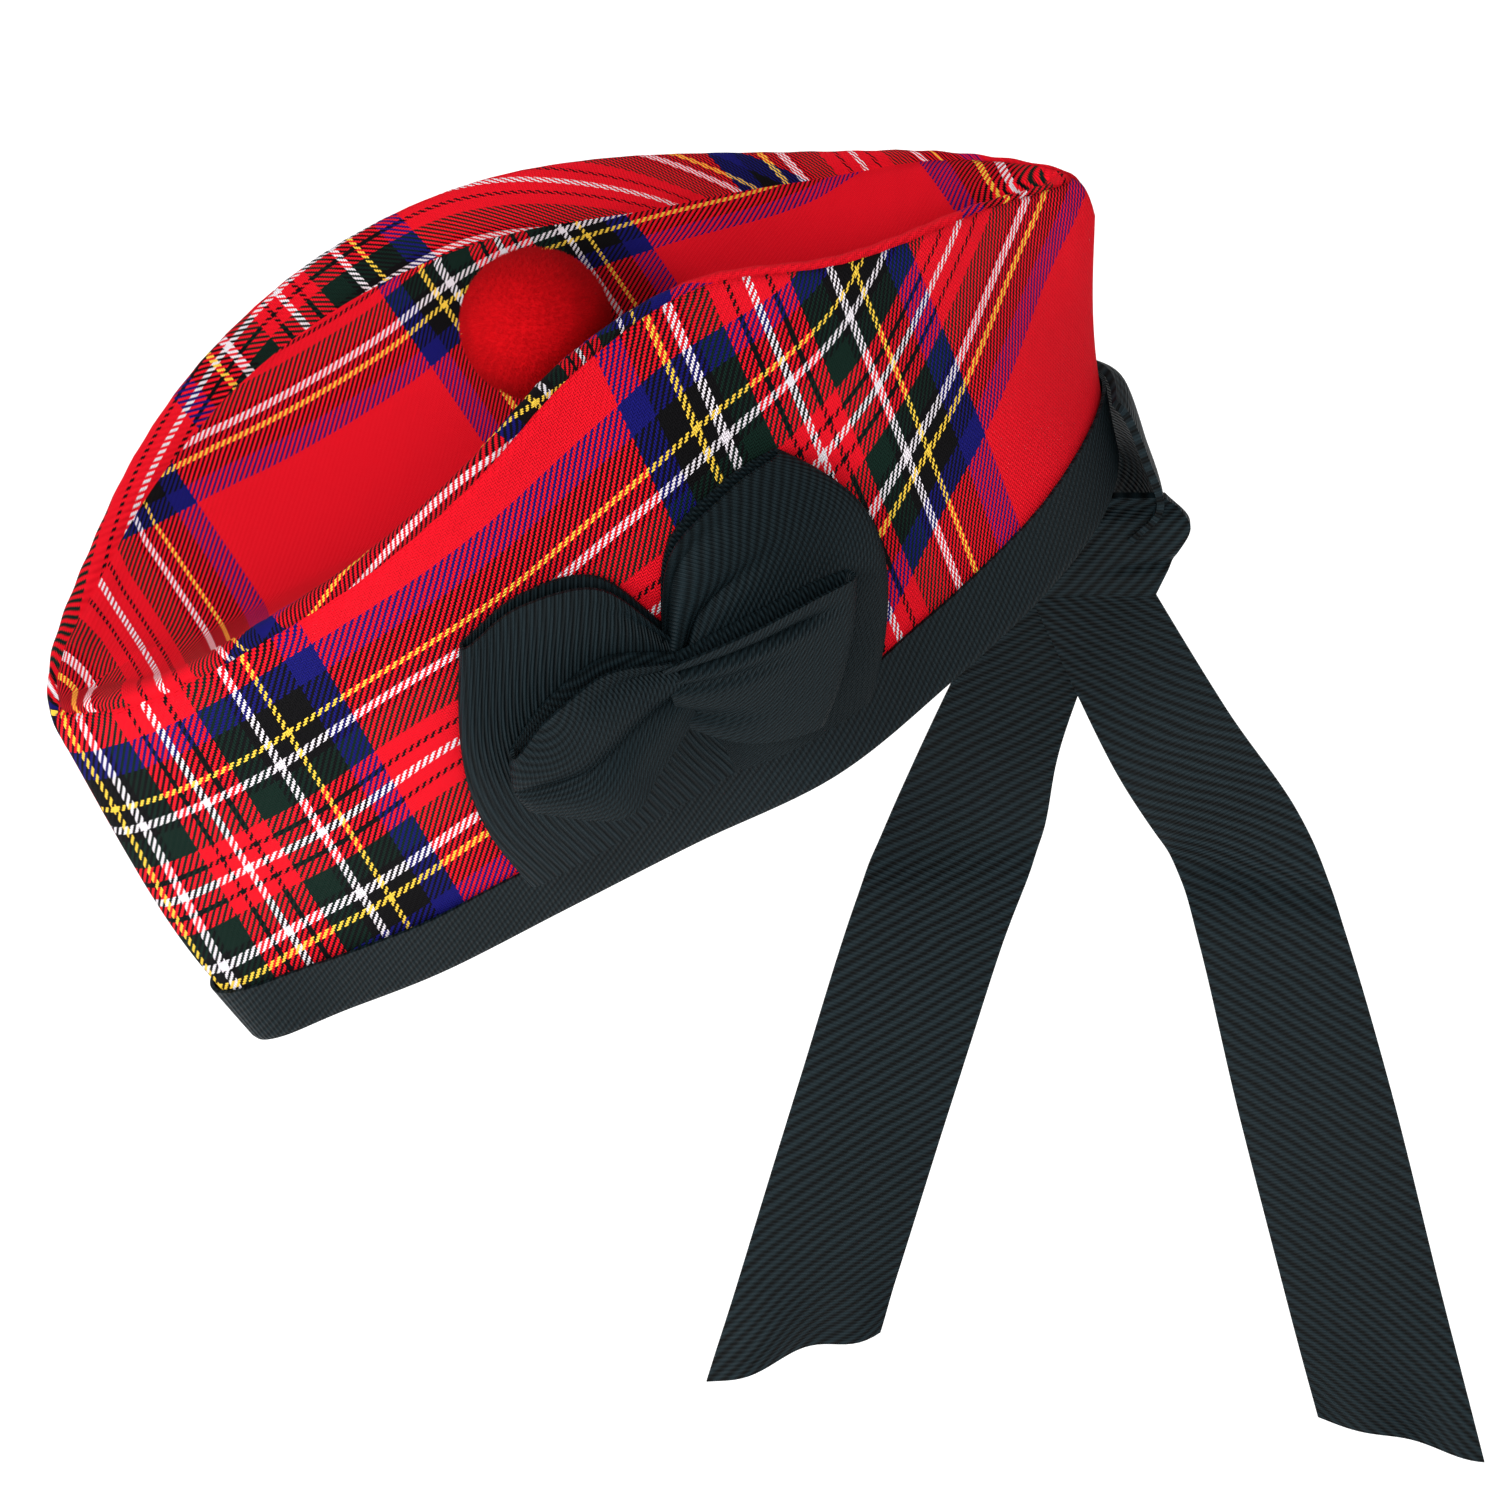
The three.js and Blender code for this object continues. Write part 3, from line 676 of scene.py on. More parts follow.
# The cloth: one skin, cut into the two sides and the crown
SEAM_DIP = 1.3  # the cloth turns down into its seams
SEAM_WIDTH = 1.3
PUCKER = 0.22  # small gathers beside the seam
PUCKERS = 68  # round the seam
PUCKER_REACH = 11.0
WAVE = 0.7  # the panels' own soft unevenness
WAVE_PITCH = 70.0
WAVE_SEED = 3
WAVE_FROM_RIM = 40.0  # it grows over these distances
WAVE_FROM_SEAM = 25.0
EVEN_BY_CREASE = 15.0  # nearer to the crease the cloth evens out
SEAM_BY_CREASE = 4.0  # and the seams fade

SEAM_CROWDING = 0.6  # stations crowd towards the front and back seams
even = np.arange(STATIONS + 1) / STATIONS
shares = even - SEAM_CROWDING * np.sin(4 * math.pi * even) / (4 * math.pi)
skin = skin_grid(shares)
normals = grid_normals(skin)
normals[0] = normals[-1] = unit(normals[0] + normals[-1])
normals[:, -1] = np.array([0, 0, 1])
heights = lengths_along(skin, 1)
from_seam = np.abs(heights - heights[:, SEAM_ROW : SEAM_ROW + 1])
round_seam = lengths_along(skin[:, SEAM_ROW : SEAM_ROW + 1], 0)
waves = WAVE * ripples(skin[..., 0], heights, WAVE_PITCH, WAVE_SEED)
waves = waves * smooth_step(heights / WAVE_FROM_RIM) * smooth_step(from_seam / WAVE_FROM_SEAM)
pucker_turn = 2 * math.pi * PUCKERS * round_seam / round_seam[-1]
puckers = PUCKER * np.sin(pucker_turn) * np.exp(-from_seam / PUCKER_REACH)
half = STATIONS // 2
round_cap = lengths_along(skin, 0)
from_back = np.abs(round_cap - round_cap[half])
from_ends = np.minimum.reduce([round_cap, from_back, round_cap[-1] - round_cap])
from_ends[:, SEAM_ROW + 1 :] = np.inf
dip = valley(from_seam, SEAM_WIDTH) + valley(from_ends, SEAM_WIDTH)
from_crease = heights[:, -1:] - heights
uneven = (waves + puckers) * smooth_step(from_crease / EVEN_BY_CREASE)
sunk = SEAM_DIP * np.minimum(dip, 1) * smooth_step(from_crease / SEAM_BY_CREASE)
skin = skin + normals * (uneven - sunk)[..., None]
lining = skin - normals * CLOTH

FRONT_SLANT = 0.25  # towards the front the pattern's rows run downhill
SLANT_START = -55.0
SLANT_BLEND = 8.0
LEANS = [(-80, 0.06), (90, 0.2)]  # x and lean: the pattern's columns lean back
BACK_START = 40.0  # behind this x the pattern's rows rise and draw together
BACK_REACH = 110.0
TURN_FRONT = -100.0  # ahead of this x, and behind the other, a side turns towards its seams
TURN_BACK = 110.0
TURN_BLEND = 8.0


def over_skin(rows):
    """A value over the skin from a table of its values along the cap."""
    x, value = zip(*rows)
    return np.interp(skin[..., 0], x, value)


fall = FRONT_SLANT * SLANT_BLEND * np.logaddexp(0, (SLANT_START - skin[..., 0]) / SLANT_BLEND)
lean = over_skin(LEANS)


def along_side(grid):
    """Distance along a side: x over most of it, and the cloth's own length by its end seams."""
    x = grid[..., 0]
    between = (x[1:] + x[:-1]) / 2
    turned_front = smooth_step((TURN_FRONT - between) / TURN_BLEND)
    turned_back = smooth_step((between - TURN_BACK) / TURN_BLEND)
    turned = turned_front + turned_back
    onwards = np.sign(x[-1] - x[0])
    lengths = np.linalg.norm(np.diff(grid, axis=0), axis=-1)
    steps = np.diff(x, axis=0) * (1 - turned) + onwards * lengths * turned
    distance = np.concatenate([np.zeros_like(x[:1]), np.cumsum(steps, 0)], 0)
    middle = len(x) // 2
    return distance - distance[middle] + x[middle]


def side_pattern(lay, stations, rows):
    """A side's cloth coordinates in setts."""
    place = dict(zip(LAY_COLUMNS, lay))
    up = heights[stations, rows]
    column = along_side(skin[stations, rows]) - place["white_x"]
    column = column - lean[stations, rows] * (up - heights.mean())
    behind = np.maximum(skin[stations, rows, 0] - BACK_START, 0) / BACK_REACH
    row = up - place["white_height"] + fall[stations, rows] - place["back_rise"] * behind**2
    scale = place["scale_height"] * (1 - place["back_squeeze"] * smooth_step(2 * behind))
    return np.stack([column / place["scale_x"], row / scale], -1) / SETT


def crown_pattern():
    """The crown's cloth coordinates in setts. The middle of a red stripe runs along the crease."""
    lip = slice(SEAM_ROW + FOLD_ROWS, SEAM_ROW + FOLD_ROWS + 1)
    out = sections_at(shares)["out"][:, None]
    over_fold = np.maximum(heights[:, lip] - heights, 0)
    along = np.where(over_fold > 0, skin[:, lip, 0] + out[..., 0] * over_fold, skin[..., 0])
    across = lengths_along(skin * np.array([0, 1, 1]), 1)
    across = across[:, -1:] - np.maximum(across, across[:, lip]) + np.abs(out[..., 1]) * over_fold
    side = np.where(np.arange(STATIONS + 1) <= half, -1, 1)[:, None]
    row = across / np.where(side < 0, CROWN_SCALE_LEFT, over_skin(CROWN_SCALES_RIGHT))
    narrow = np.minimum(row, LAST_STRIPE) + np.maximum(row - LAST_STRIPE, 0) / LAST_STRETCH
    row = np.where(side < 0, narrow, row)
    wider = CROWN_FRONT_WIDER * smooth_step((row - CROWN_FRONT_ROW) / CROWN_FRONT_ROW) * (side < 0)
    along = along - wider * np.minimum(along - CROWN_FRONT_X, 0)
    column = (along - CROWN_WHITE_X) / CROWN_SCALE_X
    return np.stack([column, SETT / 2 + side * row], -1) / SETT


for name, first in (("side_left", 0), ("side_right", half)):
    stations = slice(first, first + half + 1)
    rows = slice(0, SEAM_ROW + 1)
    pattern = side_pattern(SIDE_LAYS[name], stations, rows)
    panel = (from_cap(skin[stations, rows]), from_cap(lining[stations, rows]), pattern)
    settle(sheet_object(f"{name}_cloth", [panel], tartan), name)

rows = slice(SEAM_ROW, None)
panel = (from_cap(skin[:, rows]), from_cap(lining[:, rows]), crown_pattern()[:, rows])
crown = sheet_object("crown_cloth", [panel], tartan, ends=False, last_edge=False)
settle(crown, "crown")


# The band: one ribbon folded over the rim
BAND_ROWS = 12
BAND_WAVE = 0.35
BAND_WAVES = (7, 12)  # round the rim
BAND_STRIPES = 33.0  # degrees
BAND_SPACING = 0.67
BAND_START = 0.5  # of the way round, under the knot
RIM_INSET = 0.4  # the turn over the rim is rounded
RIM_CLIMB = 0.2


def band_piece():
    """The ribbon from its edge inside the cap, down to the rim and up the outside."""
    section = sections_at(shares + BAND_START)
    rim_length = lengths_along(section["rim"][:, None], 0)[:, 0]
    outside = GAP + RIBBON
    inside = -CLOTH - INNER_GAP - RIBBON
    climb = np.linspace(0, 1, BAND_ROWS)
    profile = [(inside, BAND_HEIGHT * (1 - c), -1) for c in climb[:-1]]
    profile.append((inside + RIM_INSET, RIM_CLIMB, -1))
    profile.append((inside / 2, 0.0, 0))
    profile.append((outside - RIM_INSET, RIM_CLIMB, 1))
    profile += [(outside, BAND_HEIGHT * c, 1) for c in climb[1:]]
    turn = 2 * math.pi * rim_length / rim_length[-1]
    wave = BAND_WAVE * (1 + np.sin(BAND_WAVES[0] * turn) * np.sin(BAND_WAVES[1] * turn))
    front, back, uv = [], [], []
    for offset, height, face in profile:
        loose = wave * (height / BAND_HEIGHT) * (face > 0)
        front.append(side_point(section, height, offset + loose))
        back.append(side_point(section, max(height, RIBBON), offset + loose - face * RIBBON))
        across = height if face > 0 else -height
        uv.append(ribbed(rim_length * MM, across * MM, BAND_STRIPES, BAND_SPACING))
    front, back, uv = (np.stack(part, 1) for part in (front, back, uv))
    return sheet_object("band_ribbon", [(from_cap(front), from_cap(back), uv)], ribbon, ends=False)


settle(band_piece(), "band")


# The cockade
SECTION_PITCH = cap["rim_x"][6] - cap["rim_x"][5]  # beside the cockade
LOOP_STEPS = 72
LOOP_ACROSS = 44
LOOP_REACH = 50.0
LOOP_WAIST = 0.45  # where a loop's path bends, as shares of its reach
LOOP_TURN = 0.93
GATHER_RISE = 1.0  # between the creases, near the pinch
GATHER_REACH = 0.9  # of the loop's reach
GATHER_FADE = 0.5
CREASE_FADE = 0.4
CREASE_SHARPNESS = 4
CRUMPLE = 0.5
CRUMPLE_PITCH = 26.0
CRUMPLE_START = 0.3


def beside_cockade(along, up, off):
    """Points on the left side by the cockade: along the cap, up the side, and out from it."""
    count = 2 * len(SECTIONS) - 2
    section = sections_at(COCKADE_STATION + along / (SECTION_PITCH * count))
    return side_point(section, COCKADE_HEIGHT + up, off)


# Creases in a loop's face, a row for each: its place across the loop from the low edge, its depth,
# and its width and reach as shares of the loop's
CREASE_COLUMNS = ("across", "depth", "width", "reach")
BACK_FRONT_CREASES = [(0.9, 1.6, 0.05, 0.5), (0.62, 1.2, 0.06, 0.4)]
BACK_REAR_CREASES = [(0.93, 2.2, 0.05, 0.7), (0.72, 2.4, 0.045, 0.75), (0.5, 1.4, 0.06, 0.5)]
FRONT_FRONT_CREASES = [(0.42, 3.2, 0.13, 1.15), (0.86, 1.6, 0.07, 0.6)]
FRONT_REAR_CREASES = [(0.84, 3.0, 0.06, 0.95), (0.64, 1.8, 0.07, 0.7), (0.25, 1.6, 0.1, 0.6)]


def ribbon_loop(rows, creases, stripe_angle, spacing, round_end, seed, under, over, puff):
    """One loop: out from the pinch along the side, round its end and back over the top to the pinch."""
    table = columns(rows, LOOP_COLUMNS)
    high = curve_through(np.stack([table["high_along"], table["high"]], -1))
    low = curve_through(np.stack([table["low_along"], table["low"]], -1))
    middle = (under + over) / 2
    outwards = math.copysign(1, table["high_along"][-1])
    bends = [(0, under), (LOOP_WAIST, under), (LOOP_TURN, under), (1, middle)]
    bends += [(LOOP_TURN, over + puff), (LOOP_WAIST, over + puff), (0, over)]
    path = curve_through(np.array(bends) * np.array([LOOP_REACH, 1]))
    steps = np.linspace(0, 1, LOOP_STEPS)
    centre = path(steps)
    tangent = unit(direction(path, steps))
    share = np.clip(centre[:, 0] / LOOP_REACH, 0, 1)[:, None]
    across = np.linspace(0, 1, LOOP_ACROSS)[None, :]
    low_edge, high_edge = low(share[:, 0])[:, None], high(share[:, 0])[:, None]
    edge = low_edge * (1 - across[..., None]) + high_edge * across[..., None]
    swell = round_end * share**2 * np.sin(math.pi * across)
    upper = smooth_step((centre[:, 1:2] - under) / (over - under))
    gather = np.zeros_like(share * across)
    for row in creases:
        crease = dict(zip(CREASE_COLUMNS, row))
        inside = 1 - np.abs(across - crease["across"]) / crease["width"]
        sunk = crease["depth"] * np.logaddexp(0, CREASE_SHARPNESS * inside) / CREASE_SHARPNESS
        gather -= sunk * smooth_step((crease["reach"] - share) / CREASE_FADE)
    gather += GATHER_RISE * smooth_step((GATHER_REACH - share) / GATHER_FADE)
    crumple = CRUMPLE * ripples(edge[..., 0], edge[..., 1], CRUMPLE_PITCH, seed)
    crumple = crumple * smooth_step(share / CRUMPLE_START)
    relief = upper * (gather + crumple)
    grids = []
    for layer in (RIBBON / 2, -RIBBON / 2):
        along = edge[..., 0] + outwards * (swell + layer * tangent[:, 1:2])
        off = centre[:, 1:2] - layer * tangent[:, 0:1] + relief
        grids.append(from_cap(beside_cockade(along, edge[..., 1], off)))
    between = (grids[0] + grids[1]) / 2
    uv = ribbed(lengths_along(between, 0), lengths_along(between, 1), stripe_angle, spacing)
    if outwards > 0:
        grids = [grid[:, ::-1] for grid in grids]
        uv = uv[:, ::-1]
    return *grids, uv


# How each loop is made: its table and creases, its stripes, its round end, and the seed of its crumples
LOOP_MAKING = ("rows", "creases", "stripe_angle", "spacing", "round_end", "seed")
BACK_LOOPS = [
    (BACK_FRONT_LOOP, BACK_FRONT_CREASES, 95.0, 0.82, 9.0, 1),
    (BACK_REAR_LOOP, BACK_REAR_CREASES, -40.0, 0.55, 17.0, 2),
]
FRONT_LOOPS = [
    (FRONT_FRONT_LOOP, FRONT_FRONT_CREASES, 34.0, 0.7, 2.0, 3),
    (FRONT_REAR_LOOP, FRONT_REAR_CREASES, -60.0, 0.6, 2.0, 4),
]
BOWS = {
    "cockade_back": (BACK_LOOPS, {"under": 2.4, "over": 4.4, "puff": 2.2}),
    "cockade_front": (FRONT_LOOPS, {"under": 9.4, "over": 12.4, "puff": 3.4}),
}
for name, (rows, depths) in BOWS.items():
    loops = [ribbon_loop(**dict(zip(LOOP_MAKING, row)), **depths) for row in rows]
    settle(sheet_object(f"{name}_ribbon", loops, ribbon), f"{name}_bow")


# The flat knot
TAIL_STRIPES = 40.0  # degrees, on the knot and on the tails
KNOT_STEPS = 40
WRAP_ACROSS = 30
WRAP_SIZE = (16, 45)  # half its width, and its length
WRAP_CRUMPLE = 0.5
WRAP_CRUMPLE_PITCH = 24.0
WRAP_SEED = 8
FLAP_ACROSS = 48
FLAP_FRONT = -1.7  # depths at the flap's edges, and how far it swells between them
FLAP_BACK = 1.4
FLAP_SWELL_FRONT = 1.5
FLAP_SWELL_BACK = 0.8
FLAP_CRUMPLE = 0.35
FLAP_CRUMPLE_PITCH = 17.0
FLAP_SEED = 5
LIP_DROP = -2.0  # below this the flap thins to one ribbon
LIP_FADE = 6.0
TOP_FOLD = {"depth": 1.4, "drop": 8.5, "width": 1.6}
LOW_FOLD = {"depth": 1.2, "drop": -9.0, "width": 1.5, "lean": 0.12, "start": -2.0, "fade": 14.0}


def knot_wrap():
    """The strip that wraps the band's ends."""
    table = columns(KNOT_WRAP, KNOT_COLUMNS)
    line = curve_through(np.stack([table["x"], table["half"], table["z"], table["recess"]], -1))
    steps = np.linspace(0, 1, KNOT_STEPS)
    across = np.linspace(-1, 1, WRAP_ACROSS)[:, None]
    x, half_width, z, recess = line(steps).T
    slope = direction(line, steps)
    face = unit(np.stack([-slope[:, 2], slope[:, 0]], -1))
    places = (across * WRAP_SIZE[0], steps[None, :] * WRAP_SIZE[1])
    crumple = WRAP_CRUMPLE * ripples(*places, WRAP_CRUMPLE_PITCH, WRAP_SEED)
    wraps = []
    for depth in (0.0, 2 * RIBBON):
        shift = depth - crumple
        wrap_x = x - recess * across**2 - shift * face[:, 0]
        wrap_z = z - shift * face[:, 1]
        wraps.append(from_cap(np.stack([wrap_x, across * half_width, wrap_z], -1))[:, ::-1])
    uv = ribbed(lengths_along(wraps[0], 1), lengths_along(wraps[0], 0), TAIL_STRIPES)
    return *wraps, uv


def knot_flap():
    """The folded flap that the tails leave."""
    edges = columns(FLAP_EDGES, FLAP_COLUMNS)
    sides = curve_through(np.stack([edges["drop"], edges["left"], edges["right"]], -1))
    drop, left, right = sides(np.linspace(1, 0, KNOT_STEPS)).T
    share = np.linspace(0, 1, FLAP_ACROSS)[:, None]
    place = left + (right - left) * share
    level_share = np.linspace(0, 1, KNOT_STEPS)
    swell = np.sqrt(np.clip(np.sin(math.pi * share) * np.sin(math.pi * level_share), 0, 1))
    fold_top = TOP_FOLD["depth"] * valley(drop - TOP_FOLD["drop"], TOP_FOLD["width"])
    from_low = drop - LOW_FOLD["drop"] - LOW_FOLD["lean"] * place
    fold_low = LOW_FOLD["depth"] * valley(from_low, LOW_FOLD["width"])
    fold_low = fold_low * smooth_step((place - LOW_FOLD["start"]) / LOW_FOLD["fade"])
    front_depth = FLAP_FRONT - FLAP_SWELL_FRONT * swell + fold_top + fold_low
    front_depth = front_depth + FLAP_CRUMPLE * ripples(place, drop, FLAP_CRUMPLE_PITCH, FLAP_SEED)
    lip = smooth_step((LIP_DROP - drop) / LIP_FADE)
    back_depth = (FLAP_BACK + FLAP_SWELL_BACK * swell) * (1 - lip) + (front_depth + RIBBON) * lip
    drop = np.broadcast_to(drop, place.shape)
    flaps = [from_tails(np.stack([place, depth, drop], -1)) for depth in (front_depth, back_depth)]
    uv = ribbed(lengths_along(flaps[0], 1), lengths_along(flaps[0], 0), TAIL_STRIPES)
    return *flaps, uv


knot = sheet_object("back_knot_ribbon", [knot_wrap(), knot_flap()], tail_ribbon)
settle(knot, "back_knot")


# The tails
TAIL_STEPS = 150
TAIL_ACROSS = 26
TAIL_THICKNESS = 0.8 * RIBBON
END_START = 0.88  # of the length: the end's wave begins there
END_WAVES = {"drop": 4.5, "depth": 5.0}  # radians on each side of the middle
TAIL_CREASE = 1.3
TAIL_CREASE_WIDTH = 5.0
FREE_DROP = -14.0  # below this the tail hangs free of the knot
FREE_FADE = 36.0
CURL = 0.9
CURL_PITCH = 75.0
EDGE_TURN = 0.5


def tail_piece(name, rows, stripe_angle, crease_drop, crease_lean, end_wave, seed):
    """A flat ribbon along its middle line, with a slanted end and a soft cross crease."""
    table = columns(rows, TAIL_COLUMNS)
    line = curve_through(np.stack([table["across"], table["depth"], table["drop"]], -1))
    edges = curve_through(np.stack([table["half"], table["cut"]], -1))
    steps = np.linspace(1, 0, TAIL_STEPS)
    centre = line(steps)
    along = unit(direction(line, steps))
    sideways = unit(np.stack([-along[:, 2], 0 * along[:, 0], along[:, 0]], -1))
    half_width, cut = edges(steps).T
    across = np.linspace(-1, 1, TAIL_ACROSS)[:, None, None]
    middle = centre + across * (sideways * half_width[:, None] + along * cut[:, None])
    near_end = smooth_step((steps - END_START) / (1 - END_START))
    middle[..., 2] += end_wave * near_end * np.cos(END_WAVES["drop"] * across[..., 0])
    beyond = middle[..., 2] - crease_drop - crease_lean * across[..., 0]
    crease = TAIL_CREASE * valley(beyond, TAIL_CREASE_WIDTH)
    free = smooth_step((FREE_DROP - middle[..., 2]) / FREE_FADE)
    curl = CURL * ripples(middle[..., 0], middle[..., 2], CURL_PITCH, seed)
    edge_turn = EDGE_TURN * across[..., 0] ** 4
    edge_turn = edge_turn + end_wave * near_end * np.sin(END_WAVES["depth"] * across[..., 0])
    faces = []
    for layer in (-TAIL_THICKNESS / 2, TAIL_THICKNESS / 2):
        face = middle.copy()
        face[..., 1] += layer + free * (crease + curl + edge_turn)
        faces.append(from_tails(face))
    run = lengths_along(centre[None], 1)
    uv = ribbed(run * MM, across[..., 0] * half_width * MM, stripe_angle)
    return sheet_object(name, [(*faces, uv)], tail_ribbon)


# How each tail is made: its table, its stripes, its cross crease, its end's wave and its curl's seed
TAIL_MAKING = ("rows", "stripe_angle", "crease_drop", "crease_lean", "end_wave", "seed")
TAILS = {
    "tail_left": (TAIL_LEFT, TAIL_STRIPES, -97.0, 2.0, 1.6, 6),
    "tail_right": (TAIL_RIGHT, -TAIL_STRIPES, -100.0, -6.0, 0.7, 7),
}
for name, row in TAILS.items():
    tail = tail_piece(f"{name}_ribbon", **dict(zip(TAIL_MAKING, row)))
    settle(tail, name)


# The toorie: a ball of short fibres that lean together in tufts
TOORIE_STATION = 0.3  # of the way round
TOORIE_SEED = 11
FIBRE_LENGTH = 3.0
FIBRE_HALF = 0.3
FIBRE_SCATTER = 0.012  # of the radius
FIBRE_UNEVEN = 0.14
FIBRE_CLEAR = 0.6  # above the cloth
TUFT_LEAN = 0.15  # towards the middle of the tuft
TUFT_SPREAD = 0.002  # 1 less the cosine at a tuft's edge
TUFT_ROUND = 0.2  # how much shorter fibres are at a tuft's edge
BATCHES = 20  # of fibres, to save memory
CORE_POINTS = 2600
CORE_INSET = 1.1
CORE_CLEAR = 0.5
ALL_SMOOTH = 180.0  # degrees


def sphere_directions(count):
    """Directions spread evenly over a ball, in a spiral."""
    number = np.arange(count) + 0.5
    height = 1 - 2 * number / count
    turn = number * math.pi * (3 - math.sqrt(5))
    ring = np.sqrt(1 - height**2)
    return np.stack([ring * np.cos(turn), ring * np.sin(turn), height], -1)


def crown_height(points):
    """Height of the crown's cloth below the toorie."""
    section = sections_at(np.array([TOORIE_STATION, 1 - TOORIE_STATION]))
    side = (points[..., 1] > 0).astype(int)
    lip, crease = section["lip"][side], section["crease"][side]
    part = np.clip(np.abs(points[..., 1] / lip[..., 1]), 0, 1)
    return crease[..., 2] + (lip[..., 2] - crease[..., 2]) * part**SLOPE_CURVE


def toorie_fibres():
    """Points and faces of the fibres, each a spike on three points, where they clear the cloth."""
    random = np.random.default_rng(TOORIE_SEED)
    tufts = sphere_directions(TUFTS)
    fibres = unit(sphere_directions(FIBRES) + random.normal(0, FIBRE_SCATTER, (FIBRES, 3)))
    batches = np.array_split(fibres, BATCHES)
    nearest = tufts[np.concatenate([np.argmax(batch @ tufts.T, axis=1) for batch in batches])]
    closeness = np.sum(fibres * nearest, -1)
    spread = np.clip((1 - closeness) / TUFT_SPREAD, 0, 1)
    leaning = fibres * (1 - TUFT_LEAN) + nearest * TUFT_LEAN
    leaning = unit(leaning + random.normal(0, FIBRE_SCATTER, (FIBRES, 3)))
    length = TOORIE_RADIUS + random.normal(0, FIBRE_UNEVEN, FIBRES) - TUFT_ROUND * spread
    tip = TOORIE_CENTRE + leaning * length[:, None]
    root = TOORIE_CENTRE + fibres * (TOORIE_RADIUS - FIBRE_LENGTH)
    keep = tip[:, 2] > crown_height(tip) + FIBRE_CLEAR
    tip, root, fibres = tip[keep], root[keep], fibres[keep]
    side = unit(np.cross(fibres, random.normal(0, 1, fibres.shape)))
    other = np.cross(fibres, side)
    points = []
    for turn in (0, 2 * math.pi / 3, 4 * math.pi / 3):
        points.append(root + FIBRE_HALF * (side * math.cos(turn) + other * math.sin(turn)))
    points = np.stack([*points, tip], 1).reshape(-1, 3)
    first = np.arange(len(tip)) * 4
    faces = []
    for a, b, c in ((0, 1, 3), (1, 2, 3), (2, 0, 3), (0, 2, 1)):
        faces += np.stack([first + a, first + b, first + c], -1).tolist()
    return points, faces


def toorie_core():
    """Points and faces of the ball under the fibres, flattened where it lies on the cloth."""
    core = TOORIE_CENTRE + sphere_directions(CORE_POINTS) * (TOORIE_RADIUS - CORE_INSET)
    core[:, 2] = np.maximum(core[:, 2], crown_height(core) + CORE_CLEAR)
    ball = bmesh.new()
    corners = [ball.verts.new(point) for point in core]
    bmesh.ops.convex_hull(ball, input=corners)
    loose = [corner for corner in ball.verts if not corner.link_faces]
    bmesh.ops.delete(ball, geom=loose, context="VERTS")
    ball.verts.index_update()
    points = np.array([corner.co for corner in ball.verts])
    faces = [tuple(corner.index for corner in face.verts) for face in ball.faces]
    ball.free()
    return points, faces


def toorie_piece():
    """The fibres and the core as one piece."""
    points, faces = toorie_fibres()
    core_points, core_faces = toorie_core()
    faces += [tuple(len(points) + corner for corner in face) for face in core_faces]
    points = np.vstack([points, core_points])
    away = unit(points - TOORIE_CENTRE)
    around = np.arctan2(away[:, 1], away[:, 0])
    up = np.arcsin(np.clip(away[:, 2], -1, 1))
    uv = np.stack([around, up], -1) * (TOORIE_RADIUS * MM)
    return mesh_object("toorie_wool", from_cap(points), faces, uv, wool, sharp=ALL_SMOOTH)


settle(toorie_piece(), "toorie")


# Stage, light and camera, in metres and watts
FLOOR_COLOUR = (246, 246, 246)
FLOOR_ROUGHNESS = 0.9
FLOOR_GLOW = 0.3
FLOOR_HALF = 12.0
FLOOR_LEVEL = -0.42
FLOOR_CORNERS = ((-1, -1), (1, -1), (1, 1), (-1, 1))
WHITE = (1.0, 1.0, 1.0, 1.0)
STUDIO_LIGHT = 0.45
LIGHT_COLUMNS = ("place", "aim", "size", "power")
LIGHTS = {
    "key": ((-2.4, -1.3, 1.1), (0, 0, 0), 0.9, 70.0),
    "front": ((-0.7, -2.5, 1.1), (0, 0, 0), 1.4, 47.0),
    "rim": ((0.4, 1.6, 1.6), (0, 0, 0.05), 1.2, 18.0),
}

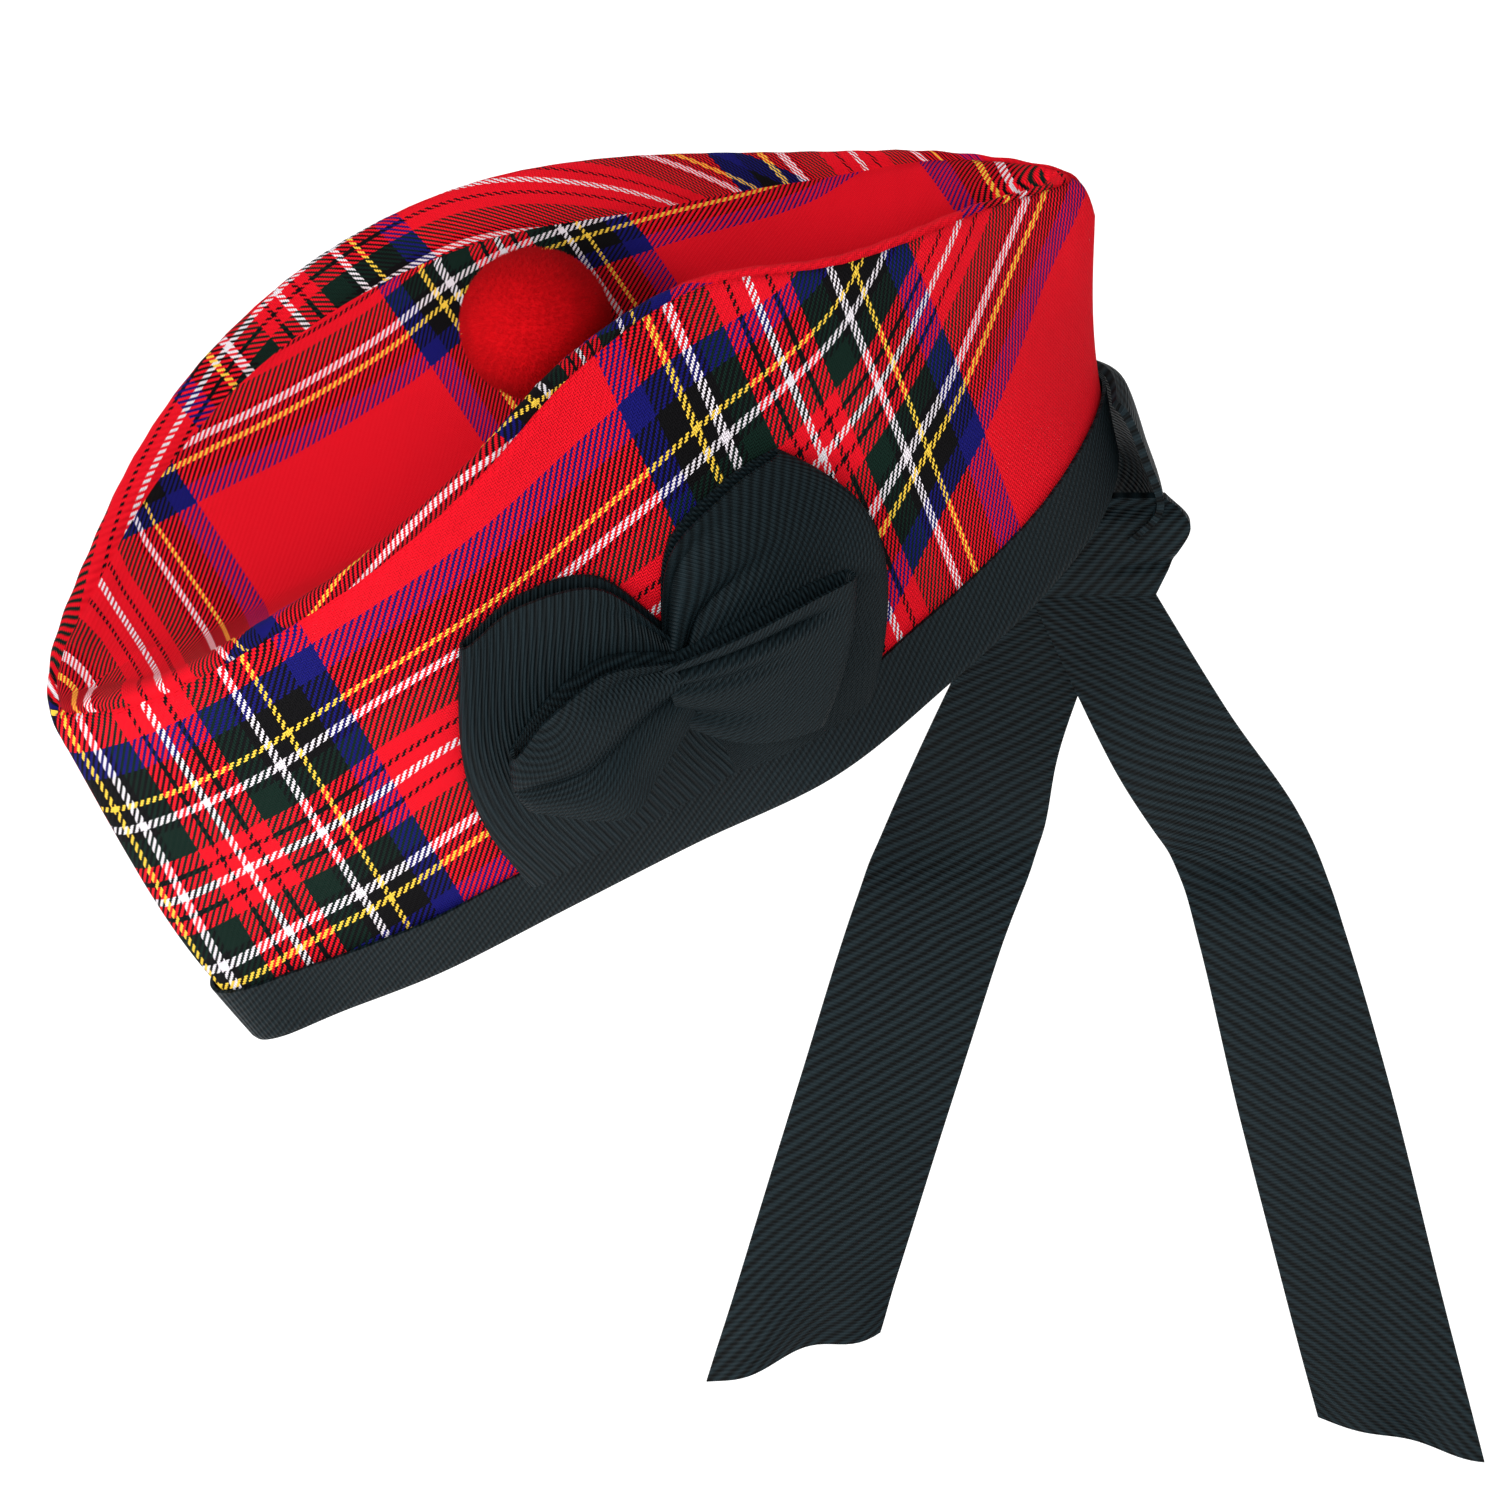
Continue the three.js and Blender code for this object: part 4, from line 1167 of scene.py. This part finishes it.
floor_material = bpy.data.materials.new("pale_floor")
floor_material.use_nodes = True
floor_shader = floor_material.node_tree.nodes["Principled BSDF"]
floor_shader.inputs["Base Color"].default_value = linear(FLOOR_COLOUR)
floor_shader.inputs["Roughness"].default_value = FLOOR_ROUGHNESS
floor_shader.inputs["Emission Color"].default_value = WHITE
floor_shader.inputs["Emission Strength"].default_value = FLOOR_GLOW
floor_mesh = bpy.data.meshes.new("floor")
corners = [(x * FLOOR_HALF, y * FLOOR_HALF, FLOOR_LEVEL) for x, y in FLOOR_CORNERS]
floor_mesh.from_pydata(corners, [], [(0, 1, 2, 3)])
floor_mesh.materials.append(floor_material)
floor = new_object("floor", floor_mesh)

world = bpy.data.worlds.new("studio")
world.use_nodes = True
background = world.node_tree.nodes["Background"]
background.inputs["Color"].default_value = WHITE
background.inputs["Strength"].default_value = STUDIO_LIGHT
bpy.context.scene.world = world


def area_light(name, place, aim, size, power):
    """A square lamp at a place, turned to what it aims at."""
    light = bpy.data.lights.new(name, "AREA")
    light.shape = "SQUARE"
    light.size = size
    light.energy = power
    lamp = new_object(name, light)
    lamp.location = place
    lamp.rotation_mode = "QUATERNION"
    lamp.rotation_quaternion = (Vector(aim) - Vector(place)).to_track_quat("-Z", "Y")


for name, row in LIGHTS.items():
    area_light(name, **dict(zip(LIGHT_COLUMNS, row)))

CAMERA_AZIMUTH = math.radians(-18.47)
CAMERA_ELEVATION = math.radians(29.07)
CAMERA_DISTANCE = 2.5
CAMERA_TARGET = Vector((0.01497, -0.0061, -0.00187))
CAMERA_SENSOR = 36.0  # millimetres
CAMERA_LENS = 238.1
CAMERA_SIGHT = 100.0
flat, rise = math.cos(CAMERA_ELEVATION), math.sin(CAMERA_ELEVATION)
back = Vector((flat * math.sin(CAMERA_AZIMUTH), -flat * math.cos(CAMERA_AZIMUTH), rise))
lens = bpy.data.cameras.new("camera")
lens.sensor_width = CAMERA_SENSOR
lens.lens = CAMERA_LENS
lens.clip_end = CAMERA_SIGHT
camera = new_object("camera", lens)
camera.location = CAMERA_TARGET + back * CAMERA_DISTANCE
camera.rotation_mode = "QUATERNION"
camera.rotation_quaternion = (-back).to_track_quat("-Z", "Y")
bpy.context.scene.camera = camera
bpy.context.scene.view_settings.view_transform = "Standard"
